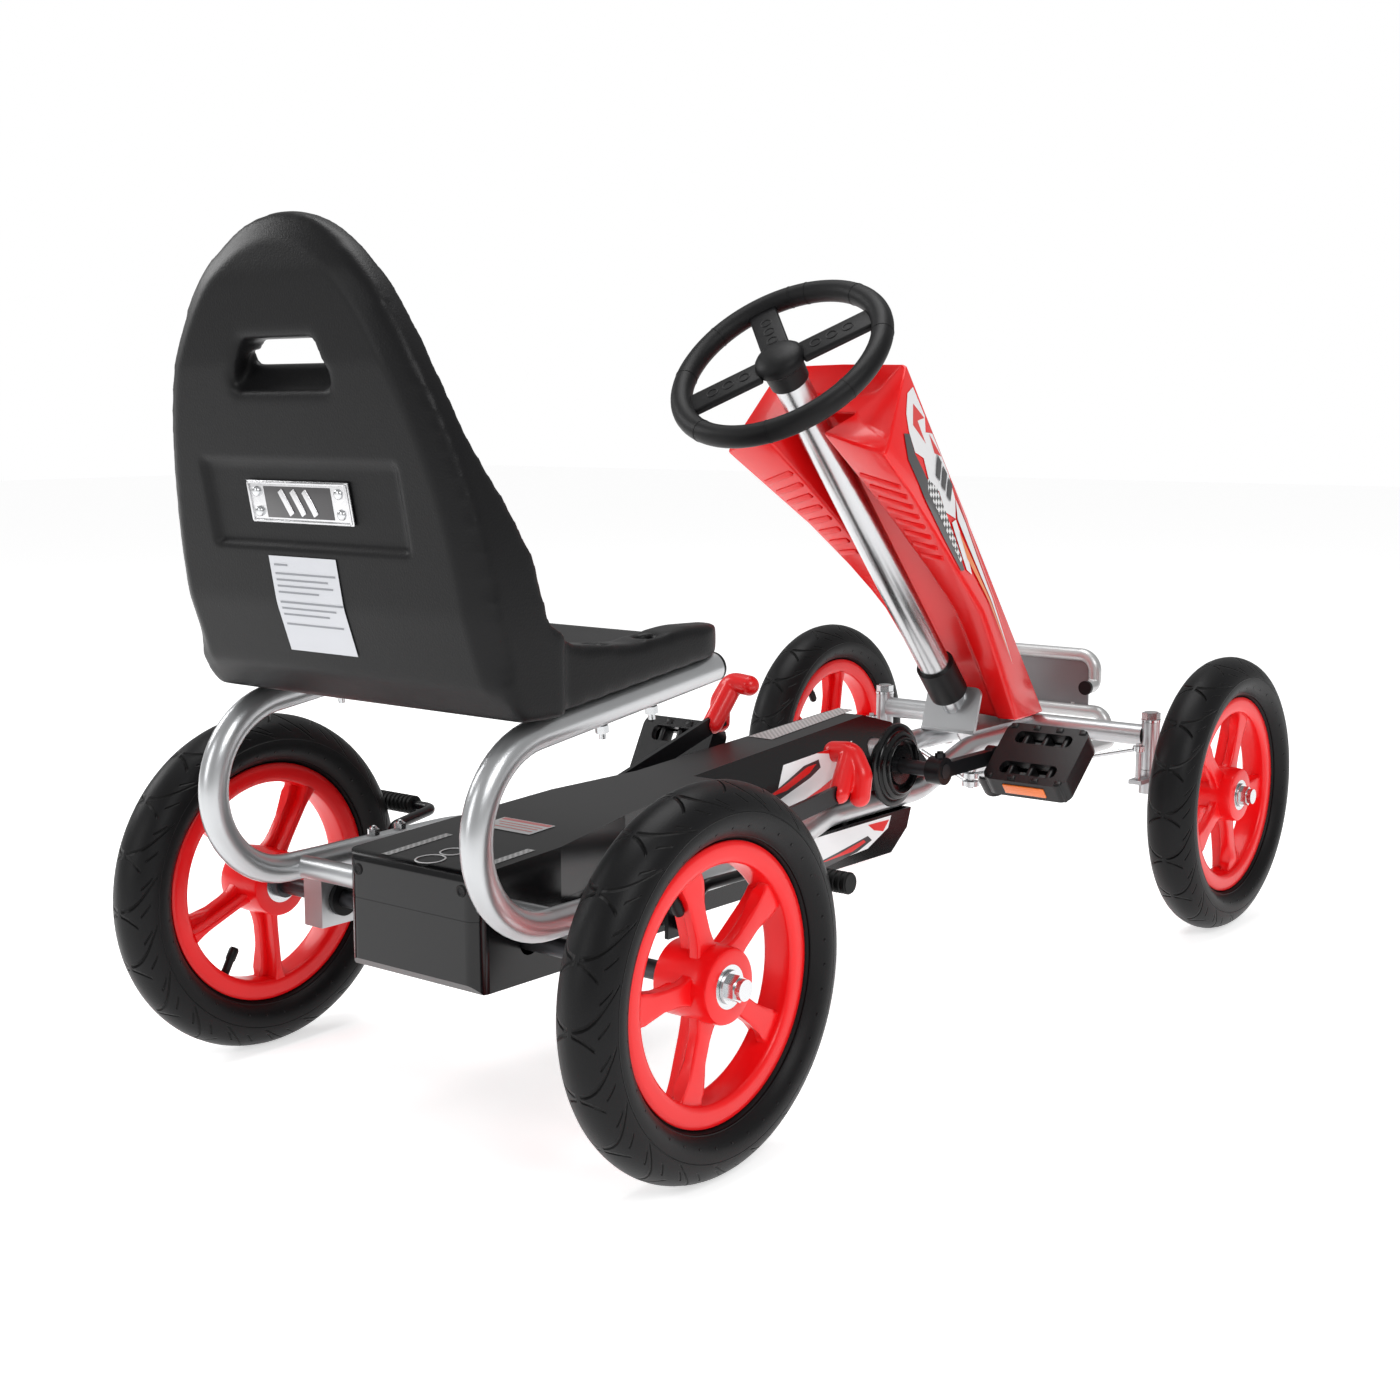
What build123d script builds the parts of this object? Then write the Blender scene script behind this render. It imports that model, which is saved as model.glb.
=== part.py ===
"""Pedal go kart: a four-wheeled ride-on with pedals, a chain to the rear axle and a steering wheel.

+X is forward, +Y is the rider's left, +Z is up, and the floor is z = 0.
Everything is drawn with x = 0 at the rear axle, and export() moves it by ROW_SHIFT,
so that the origin lies on the floor under the middle of the whole kart.
"""
from build123d import *
import os
from math import atan2, cos, degrees, hypot, pi, radians, sin, sqrt

# ---- driving dimensions, in millimetres ----
WHEELBASE = 961.0
TYRE_DIAMETER = 317.0
TYRE_WIDTH = 56.0
REAR_TRACK = 535.0            # between the middles of the rear tyres
FRONT_TRACK = 555.0
FRONT_REACH = WHEELBASE + TYRE_DIAMETER / 2
SEAT_REAR = -190.0            # the rearmost point of the seat back
ROW_SHIFT = -(FRONT_REACH + SEAT_REAR) / 2

RUN_FIT = 0.05                # radial clearance of a shaft in its hole
SKIN_GAP = 0.3                # clearance between neighbours on different bodies

# wheels
TYRE_WALL = 6.0
RIM_FLANGE_R = 112.8
RIM_SEAT_R = 101.6
RIM_INNER_R = 94.0
RIM_WIDTH = 30.0
RIM_FLANGE = 4.0
HUB_R = 30.5
HUB_IN = 29.4                 # the hub's reach inboard of the wheel's middle
HUB_OUT = 23.6                # and outboard
SPOKES = 5
SPOKE_WIDTH = 18.0
SPOKE_DEPTH = 20.0
SPOKE_RIB = 6.0
BEARING_R = 17.5
BEARING_WIDTH = 8.0
# where each wheel has come to rest: one spoke's angle above the forward line, degrees
SPOKE_PHASE = {"rear_right": 180.0, "rear_left": 58.0, "front_right": -4.0, "front_left": 82.0}

# axles and steering knuckles
AXLE_R = 8.0
STUB_R = 6.0
COLLAR_R = 12.0
COLLAR_WIDTH = 7.0
KINGPIN_Y = 187.0
KINGPIN_R = 7.95
SLEEVE_R = 11.0
SLEEVE_LOW, SLEEVE_HIGH = 176.0, 233.0
NUT_AF = 19.0

# frame tubes
TUBE_R = 12.7
TUBE_WALL = 1.5
RAIL_Y = 156.0
LOOP_X, LOOP_Z = -60.0, 275.0  # centre of the loop behind and under the seat
LOOP_R = 77.0
RAIL_RISE = 7.5                # slope of the seat rail, degrees
RAIL_END_X = 152.0
SIDE_TURN_X = 150.0            # here the side tubes turn in towards the pedals
SIDE_NARROW_X = 500.0
NARROW_Y = 38.0
LOW_TUBE_Z = 177.0
LOW_FROM_X = 300.0
BEAM_Z = 216.0
NOSE_RISE_X, NOSE_FLAT_X, NOSE_END_X = 680.0, 790.0, 890.0
NOSE_Z = BEAM_Z + 6 - TUBE_R   # the tubes end under the column bracket's base
CROSS_X = -48.0
BRACKET_SHEET = 4.0

# pedals and chain
CRANK_X, CRANK_Z = 613.0, 216.0
CRANK_ARM = 112.0
ARM_IN, ARM_OUT = 102.0, 112.0
PEDAL_IN, PEDAL_OUT = 116.0, 216.0
PEDAL_LENGTH = 84.0
PEDAL_THICK = 26.0
SHELL_R = 26.5
SHELL_HALF = 34.0
CRANK_AXLE_R = 8.0
CHAIN_PITCH = 12.7
RING_TEETH, SPROCKET_TEETH = 20, 12
CHAIN_Y = 15.0
SPROCKET_THICK = 2.6
PLATE_GAP = 3.4
CHAIN_PLATE = 1.4
CHAIN_HALF_HEIGHT = 4.2

# steering
WHEEL_CENTRE = Vector(464.4, 0, 647.0)
COLUMN_LEAN = 42.34            # degrees back from upright
WHEEL_R = 110.6
GRIP_R = 11.6
COLUMN_R = 18.5
LOWER_COLUMN_R = 15.0
TIE_X, TIE_Z = 930.0, 205.0    # the tie rods' outer eyes, behind the kingpins
DROP_X, DROP_Z = 864.0, 156.0  # and their inner eyes, behind and below the column
EYE_THICK = 6.0
EYE_GAP = 4.0                  # between the two inner eyes on the one pin
OPEN_EYE_R = 7.5               # the inner eyes are open round the drop arm's pin
DROP_PIN_R = 3.5
TIE_PIN_R = 3.0

# brakes
BRAKE_X, BRAKE_Z = 90.0, 170.0
BRAKE_ROD_R = 6.0
STRAP_Y, STRAP_THICK, STRAP_HEIGHT = 75.0, 5.0, 18.0
GRIP_X, GRIP_Z = 484.0, 213.0
LEFT_LEVER_RAISE = 9.0         # how far the left lever stands above the right one, degrees
RUBBER_R = 9.5
RUBBER_IN, RUBBER_OUT = 230.0, 290.0
RUBBER_X, RUBBER_Z = 165.0, 208.0

# seat
SEAT_HALF = 181.0
SEAT_WIDE_Z = 430.0            # the back is an ellipse above this height
SEAT_TOP = 746.0
SLOT_LOW, SLOT_TOP = 615.0, 652.0
SLOT_LOW_HALF, SLOT_TOP_HALF, SLOT_CORNER = 60.0, 42.0, 6.0
SEAT_BOLT_R = 3.0

# Chain case
CASE_CORNER = 14.0             # the rear corners seen from above
CASE_EDGE = 9.0                # the rear edge of its top

AXLE_Z = TYRE_DIAMETER / 2
SIDES = {"left": 1, "right": -1}
UP = Vector(-sin(radians(COLUMN_LEAN)), 0, cos(radians(COLUMN_LEAN)))  # along the column
AHEAD = Vector(cos(radians(COLUMN_LEAN)), 0, sin(radians(COLUMN_LEAN)))


# ---- helpers ----
def bar(start, end, radius):
    """A solid round bar between two points."""
    start, end = Vector(*start), Vector(*end)
    way = end - start
    return extrude(Plane(origin=start, z_dir=way.normalized()) * Circle(radius), way.length)


def rod(x, z, y0, y1, radius):
    """A round bar along Y."""
    return bar((x, min(y0, y1), z), (x, max(y0, y1), z), radius)


def block(x0, x1, y0, y1, z0, z1):
    """A box between two corners."""
    size = (abs(x1 - x0), abs(y1 - y0), abs(z1 - z0))
    return Pos((x0 + x1) / 2, (y0 + y1) / 2, (z0 + z1) / 2) * Box(*size)


def swept(points, radii, radius):
    """A round bar along straight runs joined by arcs."""
    path = FilletPolyline(*points, radius=radii)
    start = path @ 0
    profile = Plane(origin=start, z_dir=path % 0) * Circle(radius)
    return sweep(profile, path)


def side_face(points):
    """A face in the XZ plane from (x, z) corners."""
    return make_face(Polyline(*[(x, 0, z) for x, z in points], close=True))


def side_slab(points, y0, y1):
    """A plate cut to an outline seen from the side, between two values of y."""
    face = Pos(0, max(y0, y1), 0) * side_face(points)
    return extrude(face, abs(y1 - y0), dir=(0, -1, 0))


def top_slab(points, z0, z1):
    """A plate cut to an outline seen from above, between two heights."""
    face = make_face(Polyline(*[(x, y, z0) for x, y in points], close=True))
    return extrude(face, z1 - z0, dir=(0, 0, 1))


def rounded_face(points, rounds):
    """A face with chosen corners rounded, from points in space and {corner's place in the list: radius}."""
    face = make_face(Polyline(*points, close=True)).face()
    for index, radius in rounds.items():
        corner = face.vertices().sort_by_distance(Vector(*points[index]))[0]
        face = face.fillet_2d(radius, [corner])
    return face


def hexagon(origin, way, across, height):
    """A hexagonal prism that stands on origin."""
    plane = Plane(origin=origin, z_dir=way)
    return extrude(plane * RegularPolygon(across / sqrt(3), 6), height)


def group(*solids):
    """Several separate solids in one node."""
    flat = []
    for solid in solids:
        flat.extend(solid.solids())
    return Compound(children=flat)


def turn_y(shape, x, z, angle):
    """Turn a shape about an axis along Y, nose up for a positive angle."""
    return shape.rotate(Axis((x, 0, z), (0, -1, 0)), angle)


# ---- wheels ----
def tyre(middle_y):
    """A tyre casing, hollow for its inner tube, around a wheel in the XZ plane."""
    half = TYRE_WIDTH / 2
    outer, bead = TYRE_DIAMETER / 2, RIM_SEAT_R + RUN_FIT
    bead_half = RIM_WIDTH / 2 - RIM_FLANGE - RUN_FIT
    widest = (outer + bead) / 2 + 2
    lip = RIM_FLANGE_R + SKIN_GAP
    side = [(bead_half, bead), (bead_half, lip), (half, widest), (0.72 * half, outer - 7), (0, outer)]
    edge = [Line(side[0], side[1]), ThreePointArc(side[1], (half - 3.5, lip + 8), side[2])]
    edge.append(ThreePointArc(side[2], (half - 1.5, outer - 16), side[3]))
    edge.append(ThreePointArc(side[3], (0.38 * half, outer - 1.6), side[4]))
    half_face = Sketch() + make_face(edge + [Line(side[4], (0, bead)), Line((0, bead), side[0])])
    whole = half_face + mirror(half_face, about=Plane.YZ)
    whole -= Pos(0, widest + 3) * Ellipse(half - TYRE_WALL, outer - TYRE_WALL - widest - 4)
    ring = Plane(origin=(0, middle_y, AXLE_Z), x_dir=(0, 1, 0), z_dir=(1, 0, 0)) * whole
    return revolve(ring, Axis((0, middle_y, AXLE_Z), (0, 1, 0)), 360)


def rim(middle_y, outward, phase, bore_r):
    """A one-piece spoked rim with its long hub barrel."""
    half = RIM_WIDTH / 2
    band = [(-half, RIM_INNER_R), (-half, RIM_FLANGE_R), (-half + RIM_FLANGE, RIM_FLANGE_R)]
    band += [(-half + RIM_FLANGE, RIM_SEAT_R), (half - RIM_FLANGE, RIM_SEAT_R)]
    band += [(half - RIM_FLANGE, RIM_FLANGE_R), (half, RIM_FLANGE_R), (half, RIM_INNER_R)]
    frame = Plane(origin=(0, middle_y, AXLE_Z), x_dir=(0, 1, 0), z_dir=(1, 0, 0))
    axis = Axis((0, middle_y, AXLE_Z), (0, 1, 0))
    body = revolve(frame * make_face(Polyline(*band, close=True)), axis, 360)
    hub_in, hub_out = middle_y - outward * HUB_IN, middle_y + outward * HUB_OUT
    body += rod(0, AXLE_Z, hub_in, hub_out, HUB_R)
    reach = RIM_INNER_R + 1
    for spoke in range(SPOKES):
        near, far = middle_y - outward * SPOKE_DEPTH * 0.1, middle_y + outward * SPOKE_DEPTH * 0.5
        web = block(0, reach, near, far, AXLE_Z - SPOKE_WIDTH / 2, AXLE_Z + SPOKE_WIDTH / 2)
        rib_y = middle_y - outward * SPOKE_DEPTH * 0.6
        rib = block(0, reach, rib_y, near, AXLE_Z - SPOKE_RIB / 2, AXLE_Z + SPOKE_RIB / 2)
        body += turn_y(web + rib, 0, AXLE_Z, phase + spoke * 360 / SPOKES)
    body -= rod(0, AXLE_Z, hub_in, hub_out, bore_r + 4)
    for end, inward in ((hub_in, outward), (hub_out, -outward)):
        body -= rod(0, AXLE_Z, end, end + inward * BEARING_WIDTH, BEARING_R)
    return body


def bearings(middle_y, outward, bore_r):
    """The two steel bearings pressed into a hub's ends."""
    hub_in, hub_out = middle_y - outward * HUB_IN, middle_y + outward * HUB_OUT
    rings = []
    for end, inward in ((hub_in, outward), (hub_out, -outward)):
        ring = rod(0, AXLE_Z, end, end + inward * BEARING_WIDTH, BEARING_R)
        rings.append(ring - rod(0, AXLE_Z, end, end + inward * BEARING_WIDTH, bore_r + RUN_FIT))
    return group(*rings)


def axle_nut(x, outer_face, outward, shaft_r):
    """A flanged nut with its closed end, on an axle that points outward."""
    start = outer_face + outward * SKIN_GAP
    nut = rod(x, AXLE_Z, start, start + outward * 2.5, 13.5)
    nut += hexagon((x, start + outward * 2.5, AXLE_Z), (0, outward, 0), NUT_AF, 7.0)
    nut += rod(x, AXLE_Z, start + outward * 9.5, start + outward * 15.0, NUT_AF / 2 - 1)
    return nut - rod(x, AXLE_Z, start, start + outward * 12.0, shaft_r)


def make_wheels(nodes):
    """Four tyres, rims and bearing pairs."""
    places = {"rear": (0.0, REAR_TRACK / 2, AXLE_R), "front": (WHEELBASE, FRONT_TRACK / 2, STUB_R)}
    for end, (x, half_track, shaft_r) in places.items():
        for side, sign in SIDES.items():
            name = end + "_" + side
            shift = Pos(x, 0, 0)
            nodes[name + "_tyre"] = shift * tyre(sign * half_track)
            phase = SPOKE_PHASE[name]
            nodes[name + "_rim"] = shift * rim(sign * half_track, sign, phase, shaft_r)
            bore = shaft_r - RUN_FIT if name == "rear_right" else shaft_r
            nodes[name + "_bearings"] = shift * bearings(sign * half_track, sign, bore)


# ---- rear axle and chain drive ----
def pitch_radius(teeth):
    return CHAIN_PITCH / (2 * sin(pi / teeth))


def toothed_disc(x, z, teeth, shaft_r):
    """A sprocket: a disc with one notch for each chain roller."""
    radius = pitch_radius(teeth)
    disc = rod(x, z, CHAIN_Y - SPROCKET_THICK / 2, CHAIN_Y + SPROCKET_THICK / 2, radius + 3)
    for tooth in range(teeth):
        angle = (tooth + 0.5) * 2 * pi / teeth
        notch_x, notch_z = x + radius * cos(angle), z + radius * sin(angle)
        disc -= rod(notch_x, notch_z, CHAIN_Y - 3, CHAIN_Y + 3, 3.9)
        tip_x, tip_z = x + (radius + 4) * cos(angle), z + (radius + 4) * sin(angle)
        disc -= rod(tip_x, tip_z, CHAIN_Y - 3, CHAIN_Y + 3, 4.4)
    disc += rod(x, z, CHAIN_Y - 7, CHAIN_Y + 7, shaft_r + 5)
    return disc - rod(x, z, CHAIN_Y - 8, CHAIN_Y + 8, shaft_r)


def chain_outline(grow):
    """The belt-shaped outline round both sprockets, as a face in the XZ plane."""
    big, small = pitch_radius(RING_TEETH) + grow, pitch_radius(SPROCKET_TEETH) + grow
    dx, dz = CRANK_X, CRANK_Z - AXLE_Z
    span = hypot(dx, dz)
    lean, open_angle = atan2(dz, dx), atan2(sqrt(span ** 2 - (big - small) ** 2), small - big)

    def at(centre, radius, angle):
        return (centre[0] + radius * cos(angle), 0, centre[1] + radius * sin(angle))

    rear, front = (0, AXLE_Z), (CRANK_X, CRANK_Z)
    top, bottom = lean + pi - open_angle, lean - pi + open_angle
    wire = [Line(at(rear, small, top), at(front, big, top))]
    wire.append(ThreePointArc(at(front, big, top), at(front, big, lean), at(front, big, bottom)))
    wire.append(Line(at(front, big, bottom), at(rear, small, bottom)))
    wire.append(ThreePointArc(at(rear, small, bottom), at(rear, small, lean + pi), at(rear, small, top)))
    return make_face(wire), top, bottom, at


def make_drive(nodes):
    """Rear axle with its nuts, both sprockets and the chain."""
    half = REAR_TRACK / 2
    end = half + HUB_OUT + SKIN_GAP + 11.0
    axle = rod(0, AXLE_Z, -end, end, AXLE_R)
    for sign in SIDES.values():
        inner = sign * (half - HUB_IN - SKIN_GAP)
        axle += rod(0, AXLE_Z, inner, inner - sign * COLLAR_WIDTH, COLLAR_R)
    nodes["rear_axle"] = axle
    nuts = [axle_nut(0, sign * (half + HUB_OUT), sign, AXLE_R) for sign in SIDES.values()]
    nodes["rear_axle_nuts"] = group(*nuts)
    nodes["rear_sprocket"] = toothed_disc(0, AXLE_Z, SPROCKET_TEETH, AXLE_R)
    nodes["chainring"] = toothed_disc(CRANK_X, CRANK_Z, RING_TEETH, CRANK_AXLE_R)

    outer, top, bottom, at = chain_outline(CHAIN_HALF_HEIGHT)
    inner = chain_outline(-CHAIN_HALF_HEIGHT)[0]
    chain = None
    for y0 in (CHAIN_Y - PLATE_GAP / 2 - CHAIN_PLATE, CHAIN_Y + PLATE_GAP / 2):
        row = extrude(Pos(0, y0, 0) * (outer - inner), CHAIN_PLATE, dir=(0, 1, 0))
        chain = row if chain is None else chain + row
    rollers = 18
    for angle in (top, bottom):
        rear = at((0, AXLE_Z), pitch_radius(SPROCKET_TEETH), angle)
        front = at((CRANK_X, CRANK_Z), pitch_radius(RING_TEETH), angle)
        for step in range(1, rollers):
            share = step / rollers
            if share < 0.08 or share > 0.9:
                continue
            x, z = rear[0] + share * (front[0] - rear[0]), rear[2] + share * (front[2] - rear[2])
            chain += rod(x, z, CHAIN_Y - PLATE_GAP / 2, CHAIN_Y + PLATE_GAP / 2, 2.6)
    nodes["drive_chain"] = chain


# ---- crank and pedals ----
def pedal(axle_x, sign):
    """A block pedal: two tread bars with end plates round a barrel, tilted as it rests."""
    y0, y1 = sign * PEDAL_IN, sign * PEDAL_OUT
    half_x, half_z = PEDAL_LENGTH / 2, PEDAL_THICK / 2
    body = block(axle_x - half_x, axle_x + half_x, y0, y1, CRANK_Z - half_z, CRANK_Z + half_z)
    uprights = body.edges().filter_by(Axis.Z)
    body = fillet(uprights, 12)
    barrel = rod(axle_x, CRANK_Z, y0, y1, 10.5)
    for way in (-1, 1):
        near, far = axle_x + way * 13.5, axle_x + way * (half_x - 11)
        window = block(near, far, y0 + sign * 16, y1 - sign * 16, CRANK_Z - 40, CRANK_Z + 40)
        body -= fillet(window.edges().filter_by(Axis.Z), 7)
    groove_x, groove_y = half_x - 9, 9
    side_0, side_1 = y0 + sign * groove_y, y1 - sign * groove_y
    body -= block(axle_x - groove_x, axle_x + groove_x, side_0, side_1, CRANK_Z - 5, CRANK_Z + 5)
    body += barrel
    spindle_hole = rod(axle_x, CRANK_Z, y0, y1 - sign * 8, 6.0 + RUN_FIT)
    return body - spindle_hole


def make_crank(nodes):
    """Crank axle, arms with pedal spindles, and both pedals."""
    axle_end = ARM_OUT + 3
    nodes["crank_axle"] = rod(CRANK_X, CRANK_Z, -axle_end, axle_end, CRANK_AXLE_R)
    arms = []
    for side, sign in SIDES.items():
        tip = CRANK_X - sign * CRANK_ARM
        y0, y1 = sign * ARM_IN, sign * ARM_OUT
        arm = rod(CRANK_X, CRANK_Z, sign * (ARM_IN - 6), y1 + sign * 2, 15)
        arm += rod(tip, CRANK_Z, y0, y1, 12)
        arm += block(CRANK_X, tip, y0, y1, CRANK_Z - 8, CRANK_Z + 8)
        arm += rod(tip, CRANK_Z, y1, sign * (PEDAL_OUT - 10), 6.0)
        arm += bar((CRANK_X, sign * 107, CRANK_Z + 8), (CRANK_X, sign * 107, CRANK_Z + 21), 3.5)
        arm += hexagon((CRANK_X, sign * 107, CRANK_Z + 14), (0, 0, 1), 10, 5)
        arms.append(arm - rod(CRANK_X, CRANK_Z, -axle_end - 9, axle_end + 9, CRANK_AXLE_R))
        tilt = 40 if side == "right" else 62
        nodes["pedal_" + side] = turn_y(pedal(tip, sign), tip, CRANK_Z, tilt)
    nodes["crank_arms"] = group(*arms)
    shell = rod(CRANK_X, CRANK_Z, -SHELL_HALF, SHELL_HALF, SHELL_R)
    slot = rod(CRANK_X, CRANK_Z, CHAIN_Y - 11, CHAIN_Y + 11, SHELL_R + 40)
    bushes = []
    for sign in SIDES.values():
        y0, y1 = sign * (SHELL_HALF + 3), sign * (SHELL_HALF - 7)
        bush = rod(CRANK_X, CRANK_Z, y0, y1, SHELL_R - 3.5)
        bushes.append(bush - rod(CRANK_X, CRANK_Z, y0, y1, CRANK_AXLE_R + RUN_FIT))
    nodes["bottom_bracket_bushes"] = group(*bushes)
    shell -= rod(CRANK_X, CRANK_Z, -SHELL_HALF, SHELL_HALF, SHELL_R - 3.5)
    return shell - slot


# ---- frame ----
def frame_tube(sign, hollow=True):
    """One bent side tube: seat rail, loop, low run and the run in to the pedals."""
    y, rise = sign * RAIL_Y, radians(RAIL_RISE)
    loop_top = (LOOP_X - LOOP_R * sin(rise), y, LOOP_Z + LOOP_R * cos(rise))
    rail_end = (RAIL_END_X, y, loop_top[2] + (RAIL_END_X - loop_top[0]) * sin(rise) / cos(rise))
    loop_back = (LOOP_X - LOOP_R, y, LOOP_Z)
    loop_low = (LOOP_X, y, LOOP_Z - LOOP_R)
    share = (LOW_FROM_X - SIDE_TURN_X) / (SIDE_NARROW_X - SIDE_TURN_X)
    run_in_y = y + share * sign * (NARROW_Y - RAIL_Y)
    low_run = [loop_low, (SIDE_TURN_X, y, loop_low[2]), (LOW_FROM_X, run_in_y, LOW_TUBE_Z)]
    low_run += [(SIDE_NARROW_X, sign * NARROW_Y, LOW_TUBE_Z), (NOSE_RISE_X, sign * NARROW_Y, LOW_TUBE_Z)]
    low_run += [(NOSE_FLAT_X, sign * NARROW_Y, NOSE_Z), (NOSE_END_X, sign * NARROW_Y, NOSE_Z)]
    path = Wire([Line(rail_end, loop_top), ThreePointArc(loop_top, loop_back, loop_low)]
                + FilletPolyline(*low_run, radius=[120, 150, 120, 100, 90]).edges())
    tube = sweep(Plane(origin=path @ 0, z_dir=path % 0) * Circle(TUBE_R), path)
    if hollow:
        tube -= sweep(Plane(origin=path @ 0, z_dir=path % 0) * Circle(TUBE_R - TUBE_WALL), path)
    return tube


def make_frame(nodes, shell):
    """The welded frame, its brackets and its small fittings."""
    cores = {side: frame_tube(sign, hollow=False) for side, sign in SIDES.items()}
    both = cores["left"] + cores["right"]
    for side, sign in SIDES.items():
        nodes["frame_tube_" + side] = frame_tube(sign)

    low_z = LOOP_Z - LOOP_R
    cross = rod(CROSS_X, low_z, -RAIL_Y, RAIL_Y, 10)
    cross -= rod(CROSS_X, low_z, -RAIL_Y, RAIL_Y, 8.5)
    nodes["rear_cross_tube"] = cross - both

    nodes["bottom_bracket_shell"] = shell - both

    inner = KINGPIN_Y - SLEEVE_R
    beam = rod(WHEELBASE, BEAM_Z, -inner - 3, inner + 3, TUBE_R)
    beam -= rod(WHEELBASE, BEAM_Z, -inner - 3, inner + 3, TUBE_R - TUBE_WALL)
    for sign in SIDES.values():
        low = Vector(WHEELBASE, sign * KINGPIN_Y, SLEEVE_LOW)
        high = Vector(WHEELBASE, sign * KINGPIN_Y, SLEEVE_HIGH)
        past = Vector(0, 0, 1)
        beam += bar(low, high, SLEEVE_R)
        beam -= bar(low - past, high + past, KINGPIN_R + RUN_FIT)
    nodes["front_beam"] = beam

    base_z, sheet = BEAM_Z + 6, BRACKET_SHEET
    base = block(806, WHEELBASE, -36, 36, base_z, base_z + sheet)
    face = block(806, 806 + sheet, -36, 36, base_z, base_z + 56)
    top_edges = face.edges().filter_by(Axis.X).group_by(Axis.Z)[-1]
    face = fillet(top_edges, 9).rotate(Axis((806, 0, base_z), (0, 1, 0)), 17.5)
    bracket = base + face
    low = WHEEL_CENTRE - UP * 620
    bracket -= bar(WHEEL_CENTRE, low, LOWER_COLUMN_R + RUN_FIT)
    nodes["column_bracket"] = bracket - rod(WHEELBASE, BEAM_Z, -60, 60, TUBE_R) - both

    carriers, bushes = [], []
    for sign in SIDES.values():
        y0, y1 = sign * (RAIL_Y - 2), sign * (RAIL_Y + 2)
        plate = block(-24, 24, y0, y1, AXLE_Z - 24, low_z)
        plate += block(-24, -20, y0, sign * (RAIL_Y + 22), AXLE_Z - 24, low_z - 14)
        carrier = plate - cores["left" if sign > 0 else "right"] - rod(0, AXLE_Z, y0, y1, 13)
        carriers.append(carrier)
        bush = rod(0, AXLE_Z, y0, y1, 13) + rod(0, AXLE_Z, y0, y0 - sign * 5, 16)
        bushes.append(bush - rod(0, AXLE_Z, y0 - sign * 6, y1, AXLE_R + RUN_FIT))
    nodes["axle_carriers"] = group(*carriers)
    nodes["axle_bushes"] = group(*bushes)

    plugs, screws, ears = [], [], []
    rise = radians(RAIL_RISE)
    rail_z = LOOP_Z + LOOP_R * cos(rise) + (RAIL_END_X - LOOP_X + LOOP_R * sin(rise)) * sin(rise) / cos(rise)
    for side, sign in SIDES.items():
        nose = Vector(RAIL_END_X, sign * RAIL_Y, rail_z)
        way = Vector(cos(rise), 0, sin(rise))
        plug = bar(nose - way * 14, nose, TUBE_R - TUBE_WALL) + bar(nose, nose + way * 3, TUBE_R)
        plugs.append(plug)
        for x in (42.0, 75.0):
            top = low_z + TUBE_R
            screw = hexagon((x, sign * RAIL_Y, top - 1.0), (0, 0, 1), 10, 5.5)
            dome = Pos(x, sign * RAIL_Y, top + 4.5) * Sphere(3.6)
            screws.append(screw + dome - cores[side])
        for y in (RAIL_Y - 12, RAIL_Y + 8):
            ear = block(BRAKE_X - 14, BRAKE_X + 14, sign * y, sign * (y + 4), BRAKE_Z - 12, low_z - 4)
            ear -= rod(BRAKE_X, BRAKE_Z, sign * (y - 1), sign * (y + 5), BRAKE_ROD_R + RUN_FIT)
            ears.append(ear - cores[side])
    nodes["rail_plugs"] = group(*plugs)
    nodes["frame_screws"] = group(*screws)
    nodes["brake_pivots"] = group(*ears)
    return both


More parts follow.
